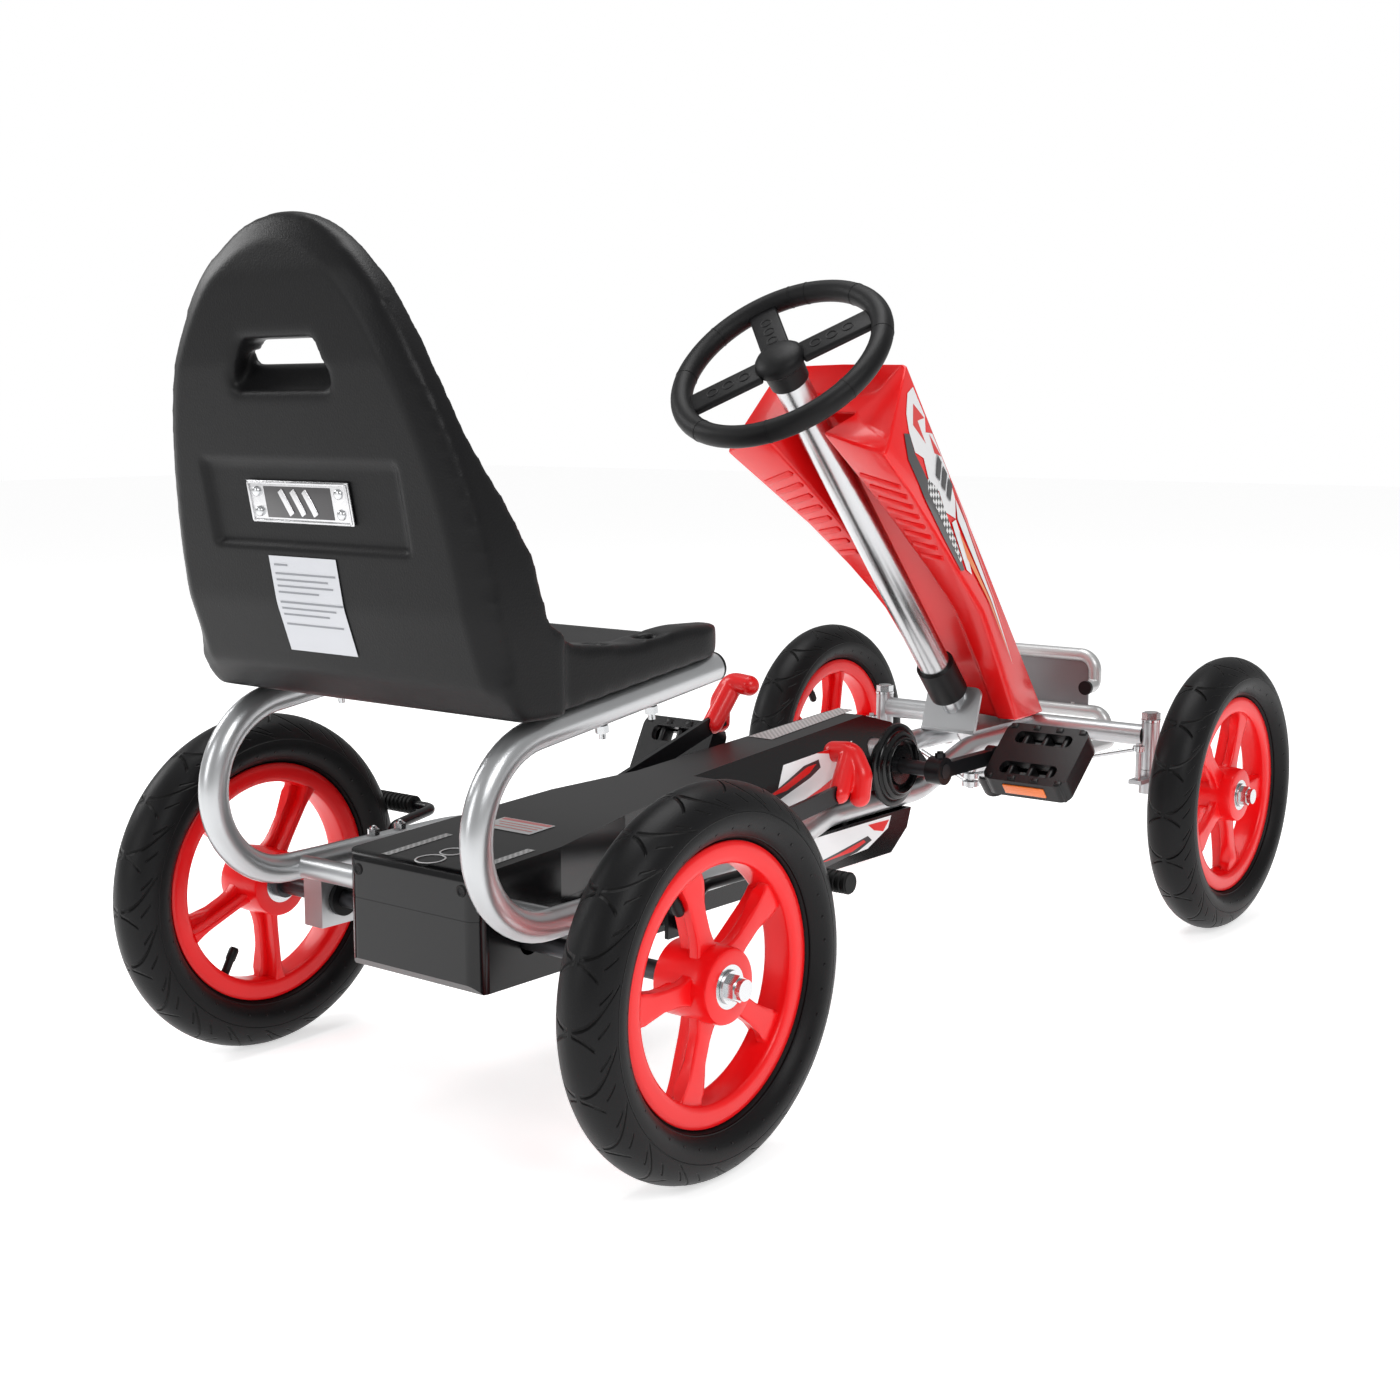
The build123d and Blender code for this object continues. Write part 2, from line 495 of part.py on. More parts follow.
# ---- front end ----
def make_knuckles(nodes):
    """Kingpins with stub axles and steering arms, their nuts, and the tie rods."""
    half = FRONT_TRACK / 2
    for side, sign in SIDES.items():
        pin_y = sign * KINGPIN_Y
        knuckle = bar((WHEELBASE, pin_y, AXLE_Z), (WHEELBASE, pin_y, SLEEVE_HIGH + 12), KINGPIN_R)
        knuckle += bar((WHEELBASE, pin_y, AXLE_Z - 11), (WHEELBASE, pin_y, SLEEVE_LOW - SKIN_GAP), 12)
        stub_end = sign * (half + HUB_OUT + SKIN_GAP + 11.0)
        knuckle += rod(WHEELBASE, AXLE_Z, pin_y, stub_end, STUB_R)
        shoulder = sign * (half - HUB_IN - SKIN_GAP)
        knuckle += rod(WHEELBASE, AXLE_Z, pin_y, shoulder, 9.5)
        low = SLEEVE_LOW - 8
        arm = [(WHEELBASE - 4, pin_y - 9), (WHEELBASE - 4, pin_y + 9)]
        arm += [(TIE_X - 8, pin_y + 8), (TIE_X - 8, pin_y - 8)]
        knuckle += top_slab(arm, low - 5, low)
        knuckle += bar((TIE_X, pin_y, low - 5), (TIE_X, pin_y, TIE_Z + EYE_THICK), TIE_PIN_R)
        nodes["knuckle_" + side] = knuckle
        washer = bar((WHEELBASE, pin_y, SLEEVE_HIGH + SKIN_GAP), (WHEELBASE, pin_y, SLEEVE_HIGH + 3), 11.5)
        nut = washer + hexagon((WHEELBASE, pin_y, SLEEVE_HIGH + 3), (0, 0, 1), NUT_AF, 8)
        top_nut = nut - bar((WHEELBASE, pin_y, SLEEVE_HIGH), (WHEELBASE, pin_y, SLEEVE_HIGH + 14), KINGPIN_R)
        end_nut = Pos(WHEELBASE, 0, 0) * axle_nut(0, sign * (half + HUB_OUT), sign, STUB_R)
        nodes["front_" + side + "_nuts"] = group(top_nut, end_nut)

        eye_low = DROP_Z + EYE_GAP / 2 if side == "right" else DROP_Z - EYE_GAP / 2 - EYE_THICK
        inner_eye = [(DROP_X, 0, eye_low), (DROP_X, 0, eye_low + EYE_THICK)]
        outer_eye = [(TIE_X, pin_y, TIE_Z - EYE_THICK / 2), (TIE_X, pin_y, TIE_Z + EYE_THICK / 2)]
        link = bar(*inner_eye, OPEN_EYE_R + 3) + bar(*outer_eye, 7)
        link += bar((DROP_X, 0, eye_low + EYE_THICK / 2), (TIE_X, pin_y, TIE_Z), EYE_THICK / 2 - 0.2)
        link -= bar((DROP_X, 0, DROP_Z - 20), (DROP_X, 0, DROP_Z + 20), OPEN_EYE_R)
        link -= bar((TIE_X, pin_y, TIE_Z - 20), (TIE_X, pin_y, TIE_Z + 20), TIE_PIN_R + RUN_FIT)
        nodes["tie_rod_" + side] = link


def make_steering(nodes):
    """Steering wheel, column, its collar and end cap, and the drop arm."""
    plane = Plane(origin=WHEEL_CENTRE, x_dir=(0, 1, 0), z_dir=UP)
    spin = Axis(WHEEL_CENTRE, UP)
    ring = Plane(origin=WHEEL_CENTRE + Vector(0, WHEEL_R, 0), x_dir=(0, 1, 0), z_dir=AHEAD) * Circle(GRIP_R)
    grip = revolve(ring, spin, 360)
    hub_drop = 26.0
    spokes = extrude(plane.offset(-hub_drop) * Circle(21), 30)
    spokes += extrude(plane.offset(2) * Circle(27), 9)
    for angle in (-50, -140, 40):
        spoke = Rot(0, 0, angle) * Pos(WHEEL_R / 2, 0) * Rectangle(WHEEL_R, 26)
        spokes += extrude(plane.offset(-5) * spoke, 8)
    nodes["steering_grip"] = grip
    top, joint = WHEEL_CENTRE - UP * 12, WHEEL_CENTRE - UP * 484
    spokes -= bar(WHEEL_CENTRE - UP * 60, top, COLUMN_R)
    nodes["steering_hub"] = spokes - grip

    foot = WHEEL_CENTRE - UP * 655
    column = bar(joint, top, COLUMN_R) + bar(foot, joint, LOWER_COLUMN_R)
    column -= bar(foot + UP * 2, top - UP * 2, LOWER_COLUMN_R - 2.5)
    reach = Vector(DROP_X, 0, DROP_Z + 14)
    heel = WHEEL_CENTRE + UP * (reach - WHEEL_CENTRE).dot(UP)
    arm_plane = Plane(origin=heel - UP * 2.5, x_dir=(reach - heel).normalized(), z_dir=UP)
    length = (reach - heel).length
    arm = extrude(arm_plane * (Pos(length / 2 - 2.5, 0) * Rectangle(length + 5, 13)), 5)
    arm += bar(reach - Vector(0, 0, 3), reach + Vector(0, 0, 5), 7)
    pin_low = DROP_Z - EYE_GAP / 2 - EYE_THICK - 3
    arm += bar(reach, (DROP_X, 0, pin_low), DROP_PIN_R)
    column += arm - bar(foot, joint, LOWER_COLUMN_R - 1)
    nodes["steering_column"] = column
    collar = bar(joint - UP * 26, joint + UP * 22, 22.5)
    collar -= bar(joint, joint + UP * 30, COLUMN_R) + bar(joint - UP * 40, joint + UP, LOWER_COLUMN_R)
    nodes["column_collar"] = collar
    nodes["column_end_cap"] = bar(foot - UP * 34, foot, 17.0)


def fairing_loft(inset):
    """The fairing's outer form, or its hollow when inset is the wall's thickness."""
    foot_z = BEAM_Z + 6 + BRACKET_SHEET + SKIN_GAP
    rear = [(506, 100, 554), (632, 81, 472), (768, 66, 368), (880, 52, foot_z)]
    front_top, front_low = (576, 80, 647), (962, 46, foot_z)
    solid = None
    shares = (0.0, 0.31, 0.64, 1.0)
    wires = []
    for point, share in zip(rear, shares):
        fx, fy, fz = [front_top[i] + share * (front_low[i] - front_top[i]) for i in range(3)]
        ahead = Vector(fx - point[0], 0, fz - point[2]).normalized()
        rx, rz = point[0] + ahead.X * inset, point[2] + ahead.Z * inset
        nx, nz = fx - ahead.X * inset, fz - ahead.Z * inset
        ry, ny = point[1] - inset, fy - inset
        corners = [(rx, -ry, rz), (nx, -ny, nz), (nx, ny, nz), (rx, ry, rz)]
        wires.append(Wire(Polyline(*corners, close=True).edges()))
    for upper, lower in zip(wires, wires[1:]):
        piece = Solid.make_loft([upper, lower], ruled=True)
        solid = piece if solid is None else solid + piece
    return solid


def make_fairing(nodes, both):
    """The front fairing: a wedge shell with an open channel for the steering column."""
    wall = 3.0
    shell = fairing_loft(0)
    hollow = fairing_loft(wall)
    lid = Plane(origin=(506, 0, 554), x_dir=(0, 1, 0), z_dir=Vector(-(647 - 554), 0, 576 - 506).normalized())
    keep = extrude(lid.offset(-wall) * Rectangle(400, 700), -900)
    shell -= hollow & keep
    channel_half = COLUMN_R + 12
    mid = WHEEL_CENTRE - UP * 300
    channel = Plane(origin=mid, x_dir=(0, 1, 0), z_dir=UP)
    behind = -150 if channel.y_dir.X > 0 else 150
    slot = Pos(0, behind) * Rectangle(2 * channel_half, 300 + 2 * channel_half)
    shell -= extrude(channel * slot, 330, both=True)
    shell -= rod(WHEELBASE, BEAM_Z, -200, 200, TUBE_R + SKIN_GAP)
    shell -= both
    nodes["front_fairing"] = shell.solids().sort_by(SortBy.VOLUME)[-1]


def make_bumper(nodes):
    """Two hoops of thin tube in front of the beam, with a plate between them."""
    r = 8.0
    x = 1048.0
    top_z, cross_z, low_z = 294.0, 223.0, 188.0
    upper_y, lower_y, foot_y = 69.0, 80.0, 95.0
    end_x, end_z = x - 22, 256.0
    upper = [(end_x, -upper_y, end_z), (x, -upper_y, end_z), (x, -upper_y, top_z)]
    upper += [(x, upper_y, top_z), (x, upper_y, end_z), (end_x, upper_y, end_z)]
    hoop = swept(upper, [9.5, 20, 20, 9.5], r)
    start_x = WHEELBASE
    lower = [(start_x, -foot_y, low_z), (x, -foot_y, low_z), (x, -lower_y, cross_z)]
    lower += [(x, lower_y, cross_z), (x, foot_y, low_z), (start_x, foot_y, low_z)]
    under = swept(lower, [16, 16, 16, 16], r)
    for sign in SIDES.values():
        under += bar((start_x, sign * foot_y, low_z - r - 2), (start_x, sign * foot_y, BEAM_Z), r + 2)
    under -= rod(WHEELBASE, BEAM_Z, -200, 200, TUBE_R)
    plate = block(x - 1.5, x + 1.5, -upper_y + r + 0.5, upper_y - r - 0.5, cross_z, top_z)
    plate -= hoop
    plate -= under
    for sign in SIDES.values():
        under += bar((x, sign * 40, cross_z + 3), (x, sign * 40, cross_z + r + 2), 3)
    nodes["bumper_plate"] = (plate - under).solids().sort_by(SortBy.VOLUME)[-1]
    nodes["bumper_upper_hoop"] = hoop
    nodes["bumper_lower_hoop"] = under
    plugs = []
    for sign in SIDES.values():
        plugs.append(bar((end_x - 5, sign * upper_y, end_z), (end_x, sign * upper_y, end_z), r + 0.8))
    nodes["bumper_plugs"] = group(*plugs)


# ---- chain case ----
def make_case(nodes, both):
    """The two halves of the chain case and their screws."""
    wall = 2.5

    def form(inset, upper):
        rear, front = -62.0 + inset, 686.0 - inset
        crown = 265.0 - inset
        if upper:
            seam_rear, seam_front = 186.0, 194.0
            points = [(rear, seam_rear), (rear, 226 - inset), (622, crown), (front - 22, crown - 12)]
            points += [(front - 5, crown - 38), (front, seam_front), (352, seam_front), (340, seam_rear)]
        else:
            seam_rear, seam_front = 185.7, 163.5
            floor_rear, floor_front = 124.0 + inset, 119.0 + inset
            points = [(rear, seam_rear), (340, seam_rear), (352, seam_front), (front - 38, seam_front)]
            points += [(front - 46, 142 + inset / 2), (front - 78, floor_front)]
            points += [(rear + 8, floor_rear), (rear, 132 + inset)]
        rounds = {1: CASE_EDGE - inset} if upper else {}
        body = extrude(rounded_face([(x, 90, z) for x, z in points], rounds), 180, dir=(0, -1, 0))
        left, right = 78 - inset, -80 + inset
        narrow_left, narrow_right = NARROW_Y + 8 - inset, -50 + inset
        plan = [(rear, right), (40, right), (150, narrow_right - 8), (210, narrow_right), (front, narrow_right)]
        plan += [(front, narrow_left), (290, narrow_left), (190, 68 - inset), (0, left - 2), (rear, left)]
        rounds = {0: CASE_CORNER - inset, len(plan) - 1: CASE_CORNER - inset}
        body = body & extrude(rounded_face([(x, y, 90) for x, y in plan], rounds), 210, dir=(0, 0, 1))
        if upper:
            lean_top = -2 + inset * 0.3
            lean = [(lean_top, 300), (lean_top, crown), (-52 + inset, 206), (-120, 206), (-120, 300)]
            wedge = make_face(Polyline(*[(300, y, z) for y, z in lean], close=True))
            body -= extrude(wedge, 600, dir=(1, 0, 0))
        return body

    top = form(0, True)
    top = top - form(wall, True)
    bottom = form(0, False) - form(wall, False)
    openings = rod(0, AXLE_Z, -120, 120, AXLE_R + 4)
    openings += rod(CRANK_X, CRANK_Z, -120, 120, SHELL_R + 1)
    openings += rod(CROSS_X, LOOP_Z - LOOP_R, -120, 120, 10.5)
    nodes["chain_case_top"] = (top - openings - both).solids().sort_by(SortBy.VOLUME)[-1]
    nodes["chain_case_bottom"] = (bottom - openings - both).solids().sort_by(SortBy.VOLUME)[-1]


# ---- brakes ----
def make_brakes(nodes):
    """Both hand levers: strap, cross rod, cranked rod, grip and rubber."""
    for side, sign in SIDES.items():
        slope = atan2(GRIP_Z - BRAKE_Z, GRIP_X - BRAKE_X)
        length = hypot(GRIP_X - BRAKE_X, GRIP_Z - BRAKE_Z)
        y0, y1 = sign * STRAP_Y, sign * (STRAP_Y + STRAP_THICK)
        half = STRAP_HEIGHT / 2
        strap = block(BRAKE_X, BRAKE_X + length, y0, y1, BRAKE_Z - half, BRAKE_Z + half)
        strap += rod(BRAKE_X, BRAKE_Z, y0, y1, half)
        strap = turn_y(strap, BRAKE_X, BRAKE_Z, degrees(slope))
        outer_y = RAIL_Y + 26
        crank = [(BRAKE_X, sign * (outer_y - 20), BRAKE_Z), (BRAKE_X, sign * outer_y, BRAKE_Z)]
        crank += [(BRAKE_X + 4, sign * (outer_y + 6), RUBBER_Z - 4)]
        crank += [(RUBBER_X, sign * (outer_y + 22), RUBBER_Z), (RUBBER_X, sign * RUBBER_OUT, RUBBER_Z)]
        raise_by = LEFT_LEVER_RAISE if side == "left" else 0.0
        strap = turn_y(strap, BRAKE_X, BRAKE_Z, raise_by)
        lever = strap + rod(BRAKE_X, BRAKE_Z, y0, sign * (outer_y + 1), BRAKE_ROD_R)
        lever += swept(crank, [10, 12, 14], BRAKE_ROD_R - 1)
        rubber = rod(RUBBER_X, RUBBER_Z, sign * RUBBER_IN, sign * (RUBBER_OUT + 2), RUBBER_R)
        rubber -= rod(RUBBER_X, RUBBER_Z, sign * RUBBER_IN, sign * RUBBER_OUT, BRAKE_ROD_R - 1)
        grip_path = [(GRIP_X + 12, sign * 49, GRIP_Z + 34), (GRIP_X + 12, sign * 72, GRIP_Z + 36)]
        grip_path += [(GRIP_X + 8, sign * 87, GRIP_Z + 14), (GRIP_X + 4, sign * 87, GRIP_Z - 8)]
        grip = swept(grip_path, [14, 14], 11)
        for end in (grip_path[0], grip_path[-1]):
            grip += Pos(*end) * Sphere(11)
        neck_y = sign * (STRAP_Y + STRAP_THICK / 2)
        grip += bar((GRIP_X - 20, neck_y, GRIP_Z - 2), (GRIP_X + 12, neck_y - sign * 8, GRIP_Z + 34), 11)
        grip += Pos(GRIP_X - 20, neck_y, GRIP_Z - 2) * Sphere(11)
        grip = turn_y(grip, BRAKE_X, BRAKE_Z, raise_by) - strap
        parts = {"brake_lever_": lever, "brake_grip_": grip, "brake_rubber_": rubber}
        for prefix, shape in parts.items():
            nodes[prefix + side] = shape


# ---- seat ----
def seat_outline():
    """The seat seen from behind: an egg above a block with round lower corners."""
    corner, low = 34.0, 340.0
    block_height = SEAT_WIDE_Z + 60 - low
    lower = Pos(0, low + block_height / 2) * RectangleRounded(2 * SEAT_HALF, block_height, corner)
    lower -= Pos(0, SEAT_WIDE_Z + 50) * Rectangle(3 * SEAT_HALF, 100)
    upper = Pos(0, SEAT_WIDE_Z) * Ellipse(SEAT_HALF, SEAT_TOP - SEAT_WIDE_Z)
    upper -= Pos(0, SEAT_WIDE_Z - 250) * Rectangle(3 * SEAT_HALF, 500)
    return upper + lower


def make_seat(nodes, both):
    """The moulded seat shell with its bolts and badge."""
    rear = [(SEAT_REAR + 6, SEAT_TOP), (SEAT_REAR, 700), (-185, 633), (-164, 530), (-149, 447), (-130, 392)]
    rear += [(-108, 366), (-70, 365.2), (RAIL_END_X + 6, 394.6)]
    front = [(RAIL_END_X + 10, 402), (RAIL_END_X - 4, 407), (20, 394), (-60, 394), (-92, 412), (-118, 455)]
    front += [(-136, 540), (-156, 633), (-164, SEAT_TOP)]
    shell = side_slab(rear + front, -SEAT_HALF, SEAT_HALF)
    wing = rear[2:] + [(RAIL_END_X + 10, 404), (RAIL_END_X, 419), (100, 421), (30, 413), (-40, 419)]
    wing += [(-78, 440), (-90, 488), (-112, 530), (-144, 582), (-160, 633)]
    for sign in SIDES.values():
        shell += side_slab(wing, sign * (SEAT_HALF - 44), sign * SEAT_HALF)
    view = Plane(origin=(SEAT_REAR - 20, 0, 0), x_dir=(0, 1, 0), z_dir=(1, 0, 0))
    shell = shell & extrude(view * seat_outline(), 500)
    nose, corner = RAIL_END_X + 10, 42
    plan = Pos(nose - 250, 0, 300) * RectangleRounded(500, 2 * SEAT_HALF - 16, corner)
    shell = shell & (extrude(plan, 600) + block(-300, -60, -SEAT_HALF, SEAT_HALF, 300, 900))
    slot = [(-SLOT_LOW_HALF, SLOT_LOW), (SLOT_LOW_HALF, SLOT_LOW)]
    slot += [(SLOT_TOP_HALF, SLOT_TOP), (-SLOT_TOP_HALF, SLOT_TOP)]
    slot_face = rounded_face([(SEAT_REAR - 20, y, z) for y, z in slot], dict.fromkeys(range(4), SLOT_CORNER))
    shell -= extrude(slot_face, 90, dir=(1, 0, 0))
    shell -= both
    bolts = []
    rise = radians(RAIL_RISE)
    for side, sign in SIDES.items():
        for x in (5.0, 67.0):
            rail_z = LOOP_Z + LOOP_R * cos(rise) + (x - LOOP_X + LOOP_R * sin(rise)) * sin(rise) / cos(rise)
            way = Vector(-sin(rise), 0, cos(rise))
            middle = Vector(x, sign * RAIL_Y, rail_z)
            low, seat_face = middle - way * 24, middle + way * 26
            shank = bar(low, middle + way * 50, SEAT_BOLT_R)
            pocket = bar(seat_face, middle + way * 70, 9)
            bolt = bar(low, seat_face, SEAT_BOLT_R) + bar(seat_face, seat_face + way * 3, 6.5)
            bolt += hexagon(middle - way * 19, way, 10, 19 - TUBE_R - 0.1)
            shell -= pocket
            shell -= shank
            nodes["frame_tube_" + side] -= shank
            bolts.append(bolt - both + bar(low, seat_face, SEAT_BOLT_R))
    nodes["seat_shell"] = shell.solids().sort_by(SortBy.VOLUME)[-1]
    nodes["seat_fasteners"] = group(*bolts)
    lean = degrees(atan2(15, 83))
    outward = Vector(-cos(radians(lean)), 0, -sin(radians(lean)))
    badge = Plane(origin=(-162.7, 0, 524), x_dir=(0, -1, 0), z_dir=outward)
    plate = extrude(badge * RectangleRounded(104, 46, 8), 2.4)
    nodes["seat_badge"] = plate - shell


def export(nodes):
    os.makedirs("parts", exist_ok=True)
    for name, shape in nodes.items():
        export_step(Pos(ROW_SHIFT, 0, 0) * shape, "parts/" + name + ".step")


def main():
    nodes = {}
    make_wheels(nodes)
    make_drive(nodes)
    shell = make_crank(nodes)
    both = make_frame(nodes, shell)
    make_knuckles(nodes)
    make_steering(nodes)
    make_fairing(nodes, both)
    make_bumper(nodes)
    make_case(nodes, both)
    make_brakes(nodes)
    make_seat(nodes, both)
    export(nodes)


main()
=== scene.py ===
# %% [markdown]
# # A pedal go kart, finished in Blender
# The kart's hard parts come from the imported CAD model: the bent tubes, axles, chain, brackets and brake rods.
# This notebook keeps those parts where they are, gives each a finish, and models the moulded pieces again,
# because a tyre's tread, a soft seat edge and a wheel's ribs are what the eye looks for first.

from math import atan2, cos, pi, radians, sin

import bmesh
import bpy
from mathutils import Matrix, Vector


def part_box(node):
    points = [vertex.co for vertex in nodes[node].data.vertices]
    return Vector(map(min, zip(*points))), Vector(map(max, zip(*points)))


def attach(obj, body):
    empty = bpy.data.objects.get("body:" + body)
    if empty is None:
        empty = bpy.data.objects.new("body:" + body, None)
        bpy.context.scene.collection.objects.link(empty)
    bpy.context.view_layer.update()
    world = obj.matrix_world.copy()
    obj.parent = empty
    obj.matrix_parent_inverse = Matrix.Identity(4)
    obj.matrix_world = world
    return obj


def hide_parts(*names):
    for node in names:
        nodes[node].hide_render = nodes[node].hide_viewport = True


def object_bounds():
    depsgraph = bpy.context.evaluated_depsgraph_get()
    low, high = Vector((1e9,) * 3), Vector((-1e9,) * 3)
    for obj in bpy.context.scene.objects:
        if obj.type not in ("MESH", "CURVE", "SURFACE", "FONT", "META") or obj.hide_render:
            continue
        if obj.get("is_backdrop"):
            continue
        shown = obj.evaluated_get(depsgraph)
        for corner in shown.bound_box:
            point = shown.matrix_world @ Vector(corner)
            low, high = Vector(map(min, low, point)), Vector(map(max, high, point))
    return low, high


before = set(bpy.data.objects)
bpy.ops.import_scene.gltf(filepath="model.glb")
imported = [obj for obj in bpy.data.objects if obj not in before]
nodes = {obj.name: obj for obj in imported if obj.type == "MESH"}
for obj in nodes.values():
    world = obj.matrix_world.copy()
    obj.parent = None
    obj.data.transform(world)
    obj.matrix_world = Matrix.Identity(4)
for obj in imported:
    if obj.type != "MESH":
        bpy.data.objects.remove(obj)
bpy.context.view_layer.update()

# %% [markdown]
# Everything is easier to place in millimetres ahead of the rear axle, as on a workshop drawing.
# So one helper turns such a point into the frame's metres. It reads the axle's own place from the CAD,
# and the middle of every wheel is read from its tyre in the same way.

# %% Places
axle_low, axle_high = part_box("rear_axle")
AXLE_X = (axle_low.x + axle_high.x) / 2
MM = 0.001


def place(x, y, z):
    """A point in the frame, from millimetres ahead of the rear axle, to the left and up."""
    return Vector((AXLE_X + x * MM, y * MM, z * MM))


WHEELS = {
    "rear_right": "rear_axle",
    "rear_left": "rear_left_wheel",
    "front_right": "front_right_wheel",
    "front_left": "front_left_wheel",
}
wheel_middle = {}
for wheel in WHEELS:
    low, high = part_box(wheel + "_tyre")
    wheel_middle[wheel] = (low + high) / 2
    print(wheel, [round(v, 3) for v in wheel_middle[wheel]])

COLUMN_LEAN = radians(42.34)
WHEEL_AT = Vector((464.4, 0, 647))  # the steering wheel's middle, in millimetres from the rear axle
WHEEL_CENTRE = place(*WHEEL_AT)
UP_COLUMN = Vector((-sin(COLUMN_LEAN), 0, cos(COLUMN_LEAN)))
AHEAD = Vector((cos(COLUMN_LEAN), 0, sin(COLUMN_LEAN)))
LEFT = Vector((0, 1, 0))

# %% [markdown]
# ## Finishes
# A real surface is never one flat value. Two small node groups are shared by nearly every material:
# one drifts the colour and roughness slightly, as handling and dust do, and one gives a fine height
# for a Bump node, as the grain of moulded plastic or sprayed paint.

# %% A shared group: uneven colour and roughness


def new_group(name, inputs, outputs):
    """An empty shader node group with named sockets, and its two end nodes."""
    group = bpy.data.node_groups.new(name, "ShaderNodeTree")
    for label, kind, value in inputs:
        socket = group.interface.new_socket(name=label, in_out="INPUT", socket_type=kind)
        socket.default_value = value
    for label, kind in outputs:
        group.interface.new_socket(name=label, in_out="OUTPUT", socket_type=kind)
    return group, group.nodes.new("NodeGroupInput"), group.nodes.new("NodeGroupOutput")


def math_node(tree, operation, first, second=None, third=None, clamp=False):
    """A Math node; each input is a socket or a number."""
    node = tree.nodes.new("ShaderNodeMath")
    node.operation = operation
    node.use_clamp = clamp
    for index, value in enumerate((first, second, third)):
        if value is None:
            continue
        if isinstance(value, (int, float)):
            node.inputs[index].default_value = value
        else:
            tree.links.new(value, node.inputs[index])
    return node.outputs[0]


def mix_colours(tree, factor, first, second):
    """A colour Mix node; each colour is a socket or a tuple."""
    node = tree.nodes.new("ShaderNodeMix")
    node.data_type = "RGBA"
    for socket, value in ((node.inputs[0], factor), (node.inputs[6], first), (node.inputs[7], second)):
        if isinstance(value, (int, float, tuple)):
            socket.default_value = value
        else:
            tree.links.new(value, socket)
    return node.outputs[2]


def object_place(tree):
    return tree.nodes.new("ShaderNodeTexCoord").outputs["Object"]


uneven, group_in, group_out = new_group(
    "uneven_finish",
    [
        ("Colour", "NodeSocketColor", (0.5, 0.5, 0.5, 1)),
        ("Roughness", "NodeSocketFloat", 0.5),
        ("Size", "NodeSocketFloat", 20.0),
        ("Spread", "NodeSocketFloat", 0.1),
    ],
    [("Colour", "NodeSocketColor"), ("Roughness", "NodeSocketFloat")],
)
cloud = uneven.nodes.new("ShaderNodeTexNoise")
cloud.inputs["Detail"].default_value = 4
uneven.links.new(object_place(uneven), cloud.inputs["Vector"])
uneven.links.new(group_in.outputs["Size"], cloud.inputs["Scale"])
drift = math_node(uneven, "SUBTRACT", cloud.outputs["Fac"], 0.5)
drift = math_node(uneven, "MULTIPLY", drift, group_in.outputs["Spread"])
lift = math_node(uneven, "MULTIPLY_ADD", drift, 1.6, 1.0)
shade = uneven.nodes.new("ShaderNodeVectorMath")
shade.operation = "SCALE"
uneven.links.new(group_in.outputs["Colour"], shade.inputs[0])
uneven.links.new(lift, shade.inputs["Scale"])
uneven.links.new(shade.outputs[0], group_out.inputs["Colour"])
rough = math_node(uneven, "ADD", group_in.outputs["Roughness"], drift, clamp=True)
uneven.links.new(rough, group_out.inputs["Roughness"])
print("node group", uneven.name, "made")

# %% A shared group: fine grain for bumps
grain, group_in, group_out = new_group(
    "fine_grain",
    [("Size", "NodeSocketFloat", 900.0), ("Pebble", "NodeSocketFloat", 0.5)],
    [("Height", "NodeSocketFloat")],
)
specks = grain.nodes.new("ShaderNodeTexNoise")
specks.inputs["Detail"].default_value = 2
pebbles = grain.nodes.new("ShaderNodeTexVoronoi")
for texture in (specks, pebbles):
    grain.links.new(object_place(grain), texture.inputs["Vector"])
    grain.links.new(group_in.outputs["Size"], texture.inputs["Scale"])
pebbled = math_node(grain, "MULTIPLY", pebbles.outputs["Distance"], group_in.outputs["Pebble"])
grain.links.new(math_node(grain, "ADD", specks.outputs["Fac"], pebbled), group_out.inputs["Height"])
print("node group", grain.name, "made")

# %% [markdown]
# Each finish is then one call: its colour, how rough it is, and how strong the grain is.
# Metals get their metallic value on the shader's own socket, and glossy plastics get a clear coat there.

# %% Finishes


def finish(
    name, colour, roughness, metallic=0.0, coat=0.0, size=18.0, spread=0.08, grain_size=900.0, bump=0.02,
    gloss=0.5,
):
    """A Principled material with slightly uneven colour and a fine grain."""
    material = bpy.data.materials.new(name)
    material.use_nodes = True
    tree = material.node_tree
    shader = tree.nodes["Principled BSDF"]
    shader.inputs["Metallic"].default_value = metallic
    shader.inputs["Specular IOR Level"].default_value = gloss
    shader.inputs["Coat Weight"].default_value = coat
    shader.inputs["Coat Roughness"].default_value = 0.06
    surface = tree.nodes.new("ShaderNodeGroup")
    surface.node_tree = uneven
    surface.inputs["Colour"].default_value = (*colour, 1)
    surface.inputs["Roughness"].default_value = roughness
    surface.inputs["Size"].default_value = size
    surface.inputs["Spread"].default_value = spread
    tree.links.new(surface.outputs["Colour"], shader.inputs["Base Color"])
    tree.links.new(surface.outputs["Roughness"], shader.inputs["Roughness"])
    texture = tree.nodes.new("ShaderNodeGroup")
    texture.node_tree = grain
    texture.inputs["Size"].default_value = grain_size
    bumps = tree.nodes.new("ShaderNodeBump")
    bumps.inputs["Strength"].default_value = bump
    bumps.inputs["Distance"].default_value = 0.0006
    tree.links.new(texture.outputs["Height"], bumps.inputs["Height"])
    tree.links.new(bumps.outputs["Normal"], shader.inputs["Normal"])
    return material


